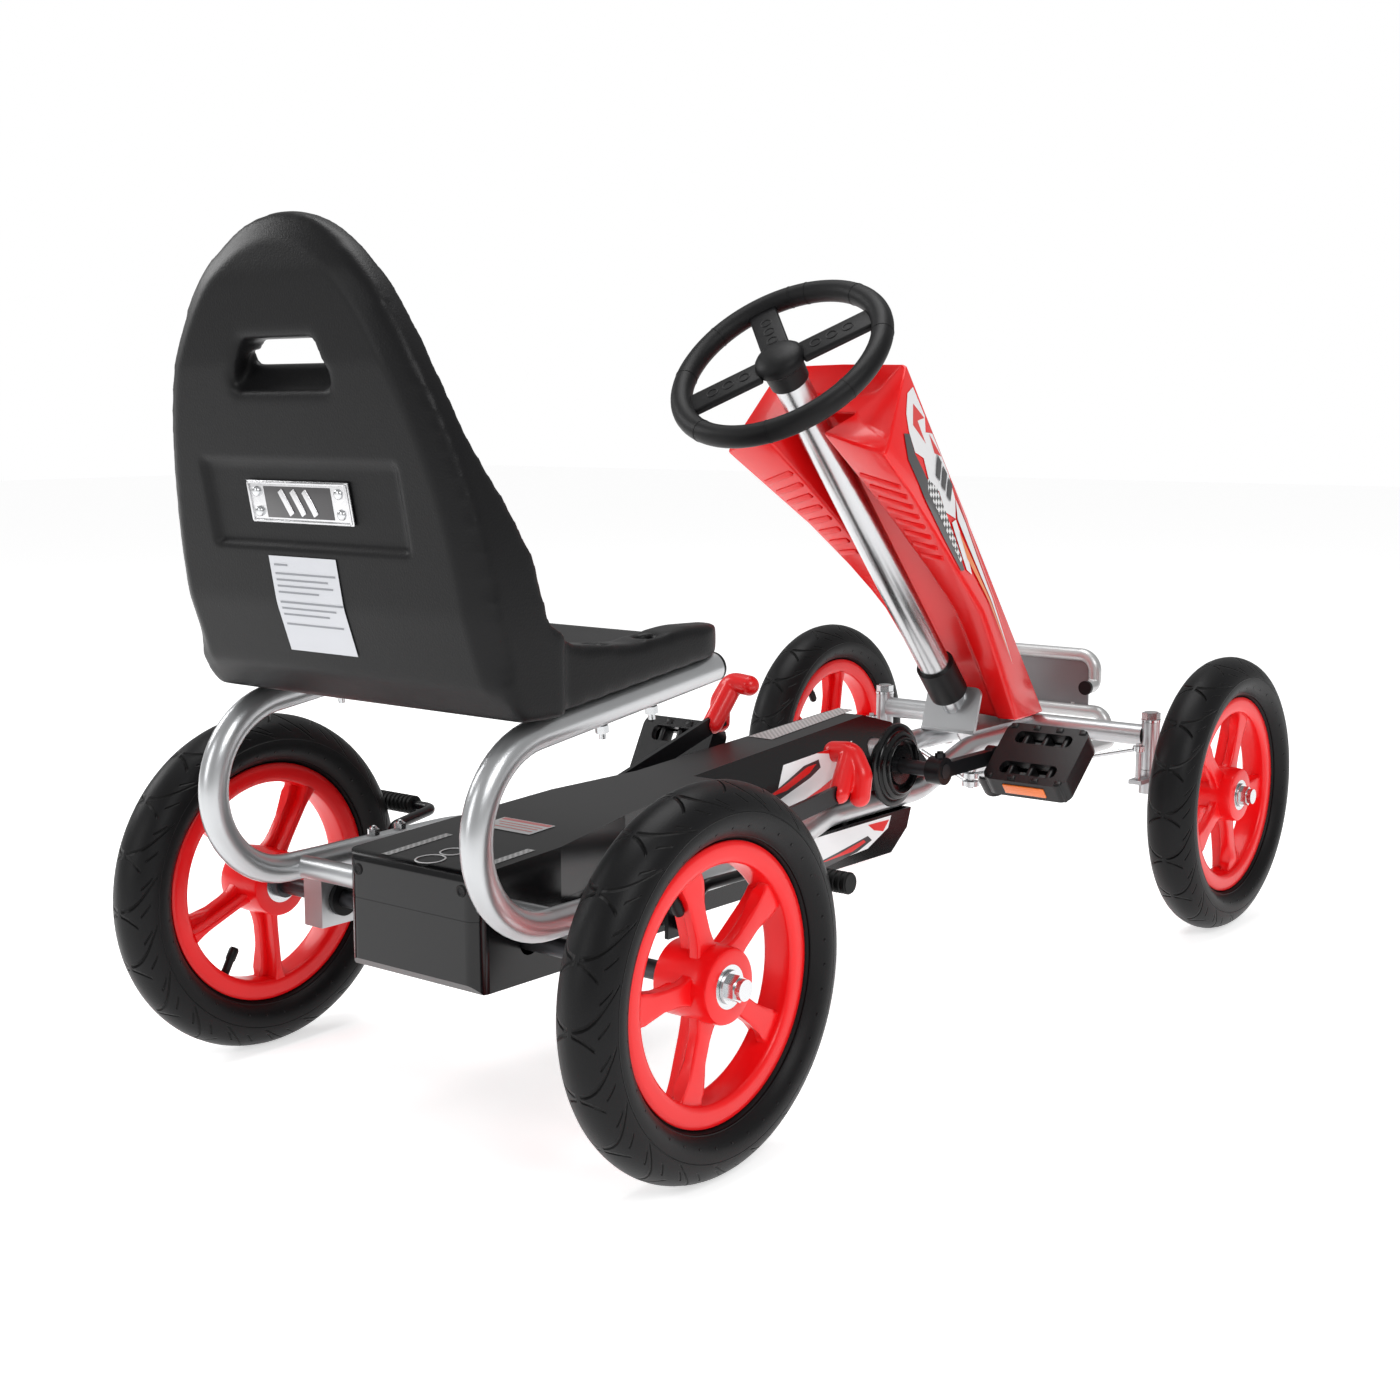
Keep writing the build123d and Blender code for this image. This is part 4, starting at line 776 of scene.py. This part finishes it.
def checked(name, size, first, second, turn=0.0, stretch=(1, 1, 1)):
    """Film printed with squares of a size in millimetres, turned in the side view."""
    material = finish(name, first, 0.32, coat=0.4, spread=0.0, bump=0.0)
    tree = material.node_tree
    squares = tree.nodes.new("ShaderNodeTexChecker")
    squares.inputs["Color1"].default_value = (*first, 1)
    squares.inputs["Color2"].default_value = (*second, 1)
    squares.inputs["Scale"].default_value = 1000 / size
    turned = tree.nodes.new("ShaderNodeMapping")
    turned.inputs["Rotation"].default_value = (0, turn, 0)
    turned.inputs["Location"].default_value = (0.0003, 0.5, 0.0004)
    turned.inputs["Scale"].default_value = stretch
    tree.links.new(object_place(tree), turned.inputs["Vector"])
    tree.links.new(turned.outputs["Vector"], squares.inputs["Vector"])
    tree.links.new(squares.outputs["Color"], tree.nodes["Principled BSDF"].inputs["Base Color"])
    return material


film_checks = checked("film_checks", 5.5, (0.03, 0.03, 0.03), (0.80, 0.80, 0.80), COLUMN_LEAN, (1, 0.0001, 1))
film_hatch = checked("film_hatch", 3.2, (0.62, 0.62, 0.62), (0.30, 0.30, 0.30), 0.0, (1, 1, 0.0001))


# %% Lay an outline on a panel
def lay_film(name, outline, cell, carry, material, body="frame"):
    """A film piece: a flat outline cut into cells, then carried onto its panel."""
    shape = bmesh.new()
    shape.faces.new([shape.verts.new((a, b, 0)) for a, b in outline])
    for axis in (0, 1):
        values = [point[axis] for point in outline]
        normal = (1, 0, 0) if axis == 0 else (0, 1, 0)
        step = cell[axis]
        count = int((max(values) - min(values)) / step)
        for index in range(1, count + 1):
            at = min(values) + index * step
            bmesh.ops.bisect_plane(
                shape, geom=shape.verts[:] + shape.edges[:] + shape.faces[:],
                plane_co=(at, 0, 0) if axis == 0 else (0, at, 0), plane_no=normal,
            )
    for v in shape.verts:
        v.co = carry(v.co.x, v.co.y)
    return piece(name, shape, material, body)


# %% The fairing's side panels
SECTION_RUN = (86, 168, 240, 324, 374, 413, 511, 615)
FAIRING_CELL = (12, .06)        # millimetres down the panel, share across it
PANEL_LIFT = 0.7                # millimetres the first film stands off the panel
FILM_STEP, BAR_LIFT = 0.12, 1.4  # how far each film stands above the last, and the bars above the first


def section_at(run):
    """The section above a place down the panel, and the share of the way to the next one."""
    index = 0
    while index < len(SECTION_RUN) - 2 and run > SECTION_RUN[index + 1]:
        index += 1
    return index, (run - SECTION_RUN[index]) / (SECTION_RUN[index + 1] - SECTION_RUN[index])


def on_fairing(side):
    """Carries (run down the column, share from ridge to front) onto one side panel."""
    def carry(run, share):
        index, part = section_at(run)
        upper, lower = section_points(index), section_points(index + 1)
        ridge, band, front = (upper[k].lerp(lower[k], part) for k in (3, 4, 5))
        if share < BAND_SHARE:
            point = ridge.lerp(band, share / BAND_SHARE)
        else:
            point = band.lerp(front, (share - BAND_SHARE) / (1 - BAND_SHARE))
        point = point + LEFT * PANEL_LIFT
        return place(point.x, side * point.y, point.z)
    return carry


FAIRING_FILM = {
    "splash": (film_white, [
        (101, .78), (110, .93), (150, .93), (160, .80), (176, .94), (232, .94), (262, .84), (276, .62),
        (250, .44), (222, .52), (196, .40), (168, .52), (146, .42), (122, .50), (108, .60),
    ]),
    "splash_lick": (film_red, [(118, .80), (150, .90), (136, .74), (166, .70), (128, .62)]),
    "splash_notch": (film_red, [(168, .86), (206, .93), (190, .80)]),
    "band": (film_dark, [
        (112, .40), (124, .48), (146, .40), (196, .38), (262, .40), (300, .30), (334, .16), (330, .08),
        (270, .10), (190, .15), (134, .24),
    ]),
    "checks": (film_checks, [
        (188, .40), (214, .50), (250, .44), (292, .34), (322, .24), (318, .16), (284, .20), (240, .26),
        (196, .28),
    ]),
    "streak_long": (film_white, [(262, .84), (300, .84), (400, .66), (520, .46), (400, .56), (280, .66)]),
    "streak_short": (film_white, [(276, .60), (330, .46), (352, .30), (338, .22), (300, .36), (270, .46)]),
    "streak_pale": (film_pale, [(240, .94), (300, .94), (470, .62), (300, .86)]),
    "streak_orange": (film_orange, [(292, .54), (340, .54), (505, .44), (400, .42), (330, .40)]),
}
FAIRING_BARS = [(204, .60), (222, .62), (240, .64)]
for side_name, side in (("left", 1), ("right", -1)):
    carry = on_fairing(side)

    def raised(a, b):
        return carry(a, b) + LEFT * lift

    for index, (film, (material, outline)) in enumerate(FAIRING_FILM.items()):
        lift = FILM_STEP * index * MM * side
        name = "film_" + film + "_" + side_name
        lay_film(name, outline, FAIRING_CELL, raised, material)
    for index, (run, share) in enumerate(FAIRING_BARS):
        bar = [(run, share), (run + 11, share + .02), (run + 4, share + .26), (run - 9, share + .24)]
        lift = BAR_LIFT * MM * side
        name = f"film_bar_{index}_{side_name}"
        lay_film(name, bar, FAIRING_CELL, raised, film_dark)
print("fairing films on both sides")

# %% Ribs on the fairing's flanges
RIB_COUNT, RIB_START, RIB_PITCH = 8, 152, 21
RIB_MARGIN, RIB_WIDTH, RIB_HEIGHT = 7, 8, 3.2
for side_name, side in (("left", 1), ("right", -1)):
    ribs = bmesh.new()
    for index in range(RIB_COUNT):
        part, share = section_at(RIB_START + index * RIB_PITCH)
        upper, lower = section_points(part), section_points(part + 1)
        inner, ridge = (upper[k].lerp(lower[k], share) for k in (2, 3))
        start, end = (place(p.x, side * p.y, p.z) for p in (inner, ridge))
        along = (end - start).normalized()
        out = along.cross(UP_COLUMN).normalized()
        out = out if out.dot(AHEAD) < 0 else -out
        size = ((end - start).length / MM - 2 * RIB_MARGIN, RIB_WIDTH, RIB_HEIGHT)
        box_shape(ribs, (start + end) / 2 + out * 0.4 * MM, along, out.cross(along), out, size, bevel=1.4)
    piece("fairing_ribs_" + side_name, ribs, fairing_red, "frame")
print("flange ribs")


# %% The chain case's films
def case_top_height(x):
    return 226 + (x + 62) * 39 / 684


def on_case_top(along, across):
    return place(along, across, case_top_height(along) + 0.35)


def on_case_side(along, height):
    return place(along, -50.4, height)


def rectangle(low, high):
    return [low, (high[0], low[1]), high, (low[0], high[1])]


CASE_TOP_FILM = {
    "strip_left": (film_hatch, rectangle((-56, 29), (20, 38))),
    "strip_right": (film_hatch, rectangle((-36, -69), (20, -60))),
    "edge_band": (film_hatch, [(470, 12), (640, 22), (640, 43), (470, 43)]),
    "note": (film_white, rectangle((54, -30), (88, 32))),
    "note_head": (film_pale, rectangle((81, -28), (87, 30))),
    "note_line_1": (film_pale, rectangle((74, -26), (76, 26))),
    "note_line_2": (film_pale, rectangle((68, -26), (70, 20))),
    "note_line_3": (film_pale, rectangle((61, -26), (63, 24))),
}
for index, (film, (material, outline)) in enumerate(CASE_TOP_FILM.items()):
    up = Vector((0, 0, 0.05 * MM * index))
    lay_film("case_" + film, outline, (60, 60), lambda a, b, up=up: on_case_top(a, b) + up, material)
CASE_SIDE_FILM = {
    "panel": (film_white, [
        (330, 206), (392, 214), (404, 246), (528, 254), (512, 230), (500, 197), (360, 197),
    ]),
    "leaf": (film_dark, [(336, 210), (392, 222), (440, 240), (466, 243), (470, 234), (452, 226), (400, 212)]),
    "leaf_red": (film_red, [(372, 216), (410, 226), (446, 238), (462, 239), (450, 231), (410, 219)]),
    "wedge": (film_red, [(462, 250), (526, 253), (512, 236), (500, 244)]),
    "swoop": (film_red, [(420, 199), (470, 212), (500, 222), (497, 206), (470, 202)]),
    "low_panel": (film_white, [(448, 161), (606, 161), (600, 148), (560, 132), (470, 128), (440, 140)]),
    "low_leaf": (film_dark, [(450, 132), (500, 138), (560, 146), (568, 140), (540, 132), (470, 125)]),
    "low_leaf_red": (film_red, [(462, 132), (504, 136), (552, 143), (556, 140), (530, 134)]),
    "low_wedge": (film_red, [(560, 158), (602, 157), (590, 146), (572, 150)]),
}
for index, (film, (material, outline)) in enumerate(CASE_SIDE_FILM.items()):
    out = Vector((0, -0.06 * MM * index, 0))
    lay_film("case_" + film, outline, (60, 60), lambda a, b, out=out: on_case_side(a, b) + out, material)
print(len(CASE_TOP_FILM) + len(CASE_SIDE_FILM), "films on the chain case")

# %% The case's rear screws
CASE_SCREW = [(0, 0.3), (2.6, 0.3), (3.2, 0.9), (4.4, 1.1), (5.2, 0.6), (5.4, -0.6)]
case_screws = bmesh.new()
for across in (-63, 61):
    spin_profile(case_screws, CASE_SCREW, place(-62.0, across, 211), Vector((-1, 0, 0)), LEFT, steps=24)
piece("case_screws", case_screws, trim_black, "frame")
print("two screw bosses on the case")

# %% An outlined mark for the case
mark = bmesh.new()
mark_centre = place(-32, -11, case_top_height(-32) + 0.5)
tilt = Vector((684, 0, 39)).normalized()
tilt_up = Vector((-39, 0, 684)).normalized()
for offset, radius in ((-14, 13.5), (12, 11.5)):
    ring = [(radius - 1.8, 0), (radius - 1.6, 0.3), (radius - 0.2, 0.3), (radius, 0)]
    spin_profile(mark, ring, mark_centre + tilt * offset * MM, tilt_up, LEFT, steps=48)
piece("case_mark", mark, film_white, "frame")
print("case mark")

# %% [markdown]
# ## Stepped cover round the crank
# Where the crank comes out, the case rises in rounded steps, like a stack of plates, so that the arm
# clears the chain. That is one section spun about the crank's axle, on each side.

# %% Crank covers
crank_centre = place(613, 0, 216)
COVER_STEPS = [(46, 0), (45.4, 2.2), (43.5, 3.2), (38, 3.6), (37, 4.6), (36.4, 8), (35, 9.2), (31.5, 9.6)]
COVER_STEPS += [(31, 12), (29.8, 12.8), (28.2, 12.6), (27, 7), (22, 6), (20.5, 9), (9.5, 9.4), (9.5, 0)]
CASE_SIDES = (("right", -1, 50.0), ("left", 1, 46.0))  # which way it faces, and how far out it stands
for side_name, side, face in CASE_SIDES:
    cover = bmesh.new()
    start = crank_centre + LEFT * side * face * MM
    spin_profile(cover, [(r, a * side) for r, a in COVER_STEPS], start, LEFT, Vector((0, 0, 1)), steps=72)
    piece("crank_cover_" + side_name, cover, case_black, "frame")
print("two crank covers")

# %% [markdown]
# ## Badge and label
# A bright metal plate sits in the seat's recess under four small screws, with a raised border round a
# dark field. The real plate carries a name, so this one carries three plain slanted bars. Below it is
# a paper label, printed here with grey lines only.

# %% Badge
back_tilt = radians(10.8)
SEAT_BACK_OUT = Vector((-cos(back_tilt), 0, -sin(back_tilt)))
SEAT_BACK_UP = Vector((-sin(back_tilt), 0, cos(back_tilt)))
badge_centre = place(-160.6, 4, 528)


def badge_block(shape, right, up, size, out, bevel, turn=0.0):
    """A block on the badge: right and up of its centre, its size, and how far out its middle is."""
    along = LEFT * cos(turn) + SEAT_BACK_UP * sin(turn)
    across = SEAT_BACK_OUT.cross(along)
    centre = badge_centre + LEFT * right * MM + SEAT_BACK_UP * up * MM + SEAT_BACK_OUT * out * MM
    return box_shape(shape, centre, along, across, SEAT_BACK_OUT, size, bevel=bevel)


plate = bmesh.new()
badge_block(plate, 0, 0, (118, 34, 2.6), 0.6, 1.1)
for up in (-15.2, 15.2):
    badge_block(plate, 0, up, (112, 2.2, 2.0), 2.0, 0.8)
for right in (-57, 57):
    badge_block(plate, right, 0, (2.2, 31, 2.0), 2.0, 0.8)
for index in range(3):
    badge_block(plate, (index - 1) * 14, 0, (22, 6.0, 1.6), 2.4, 0.6, turn=radians(62))
piece("badge_plate", plate, badge_metal, "frame", ["seat_badge"])
field = bmesh.new()
badge_block(field, 0, 0, (78, 25, 1.0), 1.7, 0.3)
piece("badge_field", field, film_dark, "frame")
screws = bmesh.new()
SCREW_HEAD = [(0, 2.2), (2.2, 2.0), (3.6, 1.3), (4.2, 0.2), (4.2, -1.0)]
for right in (-48, 48):
    for up in (-8, 8):
        at = badge_centre + LEFT * right * MM + SEAT_BACK_UP * up * MM + SEAT_BACK_OUT * 2.6 * MM
        spin_profile(screws, SCREW_HEAD, at, SEAT_BACK_OUT, LEFT, steps=20)
piece("badge_screws", screws, bright, "frame")
print("badge with four screws")

# %% Label
label_paper = finish("label_paper", (0.56, 0.57, 0.60), 0.55, spread=0.03, bump=0.0)
label_ink = finish("label_ink", (0.24, 0.25, 0.27), 0.55, spread=0.03, bump=0.0)


def on_seat_back(across, height):
    return place(read_line(REAR_LINE, height) - 0.9, across, height)


lay_film("label", rectangle((-30, 408), (49, 485)), (20, 6), on_seat_back, label_paper)
LABEL_LINES = [(478, 10), (471, 44), (466, 38), (461, 41), (456, 30)]
LABEL_LINES += [(448, 46), (443, 40), (438, 34), (430, 42)]  # each line's height, and its reach
INK_LIFT = 0.3


def on_label(across, height):
    return on_seat_back(across, height) + SEAT_BACK_OUT * INK_LIFT * MM


for index, (height, reach) in enumerate(LABEL_LINES):
    stroke = rectangle((44 - reach * 1.6, height - 0.7), (44, height + 0.7))
    lay_film(f"label_line_{index}", stroke, (20, 6), on_label, label_ink)
print("label with", len(LABEL_LINES), "plain lines")

# %% [markdown]
# ## Small moulded parts
# The brake grips are soft red mouldings, so their CAD copies are remeshed and smoothed like the seat.
# The brake rubbers are ribbed rods, and each pedal carries an amber reflector at each end.

# %% Brake grips and rubbers
RUBBER_RIBS = 11
for side in ("left", "right"):
    body = "brake_lever_" + side
    soft = rounded_copy("brake_grip_" + side, "grip_rough_" + side, 1.3, 5)
    piece("grip_" + side, soft, grip_red, body, ["brake_grip_" + side], crease=70)
    low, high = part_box("brake_rubber_" + side)
    middle = (low + high) / 2
    length = (high.y - low.y) / MM
    radius = (high.z - low.z) / MM / 2
    section = [(0, -length / 2), (radius - 1, -length / 2)]
    for rib in range(RUBBER_RIBS):
        start = -length / 2 + length * (rib + 0.12) / RUBBER_RIBS
        section += [(radius - 1.1, start), (radius, start + 0.8)]
        section += [(radius, start + 3.4), (radius - 1.1, start + 4.2)]
    section += [(radius - 1, length / 2), (0, length / 2)]
    ribbed = bmesh.new()
    spin_profile(ribbed, section, middle, LEFT, Vector((0, 0, 1)), steps=32)
    piece("rubber_" + side, ribbed, rubber, body, ["brake_rubber_" + side])
print("brake grips and rubbers")

# %% Pedal reflectors
amber = finish("amber_reflector", (0.80, 0.16, 0.01), 0.20, coat=0.5, grain_size=500, bump=0.4)
for side, tilt_angle in (("left", 62), ("right", 40)):
    low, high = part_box("pedal_" + side)
    centre = (low + high) / 2
    along = Vector((cos(radians(tilt_angle)), 0, sin(radians(tilt_angle))))
    upright = along.cross(LEFT)
    reflectors = bmesh.new()
    for end in (-1, 1):
        at = centre + along * end * 42.2 * MM
        box_shape(reflectors, at, along, LEFT, upright, (2.4, 50, 14), bevel=0.8)
    piece("reflectors_" + side, reflectors, amber, "pedal_" + side)
    webs = bmesh.new()
    for end in (-1, 1):
        for shift in (-24, 0, 24):
            at = centre + along * end * 22.3 * MM + LEFT * shift * MM
            box_shape(webs, at, along, LEFT, upright, (20, 7, 18), bevel=2.2)
        for shift in (-42, -14, 14, 42):
            at = centre + along * end * 37 * MM + LEFT * shift * MM
            box_shape(webs, at, along, LEFT, upright, (7, 9, 29), bevel=1.8)
    piece("pedal_webs_" + side, webs, pedal_black, "pedal_" + side)
print("pedal reflectors and webs")

# %% Joints in the steering wheel's ring
JOINT_TURNS = (-78, -22, 12, 68, 112, 158, 202, 248, 292)
joints = bmesh.new()
for turn in JOINT_TURNS:
    angle = radians(turn)
    reach = LEFT * cos(angle) - AHEAD * sin(angle)
    along_ring = UP_COLUMN.cross(reach)
    lip = [(GRIP_R - 0.6, -0.9), (GRIP_R + 0.35, -0.6), (GRIP_R + 0.35, 0.6), (GRIP_R - 0.6, 0.9)]
    spin_profile(joints, lip, WHEEL_CENTRE + reach * RING_R * MM, along_ring, UP_COLUMN, steps=32)
piece("ring_joints", joints, wheel_black, "steering")
print(len(JOINT_TURNS), "joints in the ring")

# %% [markdown]
# ## Light, floor and camera
# Product light is large and soft: a wide key on the camera's right, one lamp overhead for the gloss, one
# from the left for the rims, and a dim one behind the seat. The world looks white to the camera but
# lights the kart less. The pale floor glows a little, as lit paper does, and is stage, not kart.

# %% Floor
floor_shape = bmesh.new()
bmesh.ops.create_grid(floor_shape, x_segments=1, y_segments=1, size=14)
floor_mesh = bpy.data.meshes.new("floor")
floor_shape.to_mesh(floor_mesh)
floor_shape.free()
floor = bpy.data.objects.new("floor", floor_mesh)
bpy.context.scene.collection.objects.link(floor)
paper = finish("paper_floor", (0.93, 0.93, 0.93), 0.75, spread=0.0, bump=0.0)
glow = paper.node_tree.nodes["Principled BSDF"]
glow.inputs["Emission Color"].default_value = (1, 1, 1, 1)
glow.inputs["Emission Strength"].default_value = 0.60
floor_mesh.materials.append(paper)
floor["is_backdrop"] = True

# %% Lights
world = bpy.data.worlds.new("studio")
world.use_nodes = True
sky = world.node_tree
room = sky.nodes["Background"]
room.inputs["Color"].default_value = (1, 1, 1, 1)
room.inputs["Strength"].default_value = 0.40
backdrop = sky.nodes.new("ShaderNodeBackground")
backdrop.inputs["Color"].default_value = (1, 1, 1, 1)
backdrop.inputs["Strength"].default_value = 1.0
seen = sky.nodes.new("ShaderNodeLightPath")
choose = sky.nodes.new("ShaderNodeMixShader")
sky.links.new(seen.outputs["Is Camera Ray"], choose.inputs[0])
sky.links.new(room.outputs[0], choose.inputs[1])
sky.links.new(backdrop.outputs[0], choose.inputs[2])
sky.links.new(choose.outputs[0], sky.nodes["World Output"].inputs["Surface"])
bpy.context.scene.world = world


def area_light(name, where, towards, size, power):
    """A soft rectangular lamp pointed at a place."""
    data = bpy.data.lights.new(name, "AREA")
    data.shape = "RECTANGLE"
    data.size, data.size_y = size
    data.energy = power
    lamp = bpy.data.objects.new(name, data)
    lamp.location = where
    lamp.rotation_euler = (Vector(towards) - Vector(where)).to_track_quat("-Z", "Y").to_euler()
    bpy.context.scene.collection.objects.link(lamp)
    return lamp


area_light("key", (-1.5, -2.6, 2.4), (0, 0, 0.3), (1.6, 1.4), 42)
area_light("overhead", (0.2, 0.3, 3.0), (0, 0, 0.3), (1.8, 1.8), 46)
area_light("left_rim", (-1.0, 2.8, 1.8), (0, 0, 0.3), (1.2, 1.2), 26)
area_light("rear_card", (-3.0, 0.8, 1.3), (0, 0, 0.4), (0.9, 1.6), 15)
print("four lamps and a white world")

# %% Camera
CAMERA_AT = Vector((-1.60332, -1.15748, 0.59748))
CAMERA_WAY = Vector((0.77717, 0.61146, -0.14873))
lens = bpy.data.cameras.new("camera")
lens.lens = 49.36
lens.sensor_width = 36
camera = bpy.data.objects.new("camera", lens)
camera.location = CAMERA_AT
camera.rotation_euler = CAMERA_WAY.to_track_quat("-Z", "Y").to_euler()
bpy.context.scene.collection.objects.link(camera)
bpy.context.scene.camera = camera
bpy.context.scene.view_settings.view_transform = "Standard"

# %% Check the size
low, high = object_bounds()
print("finished box, metres:", [round(v, 3) for v in (*low, *high)])
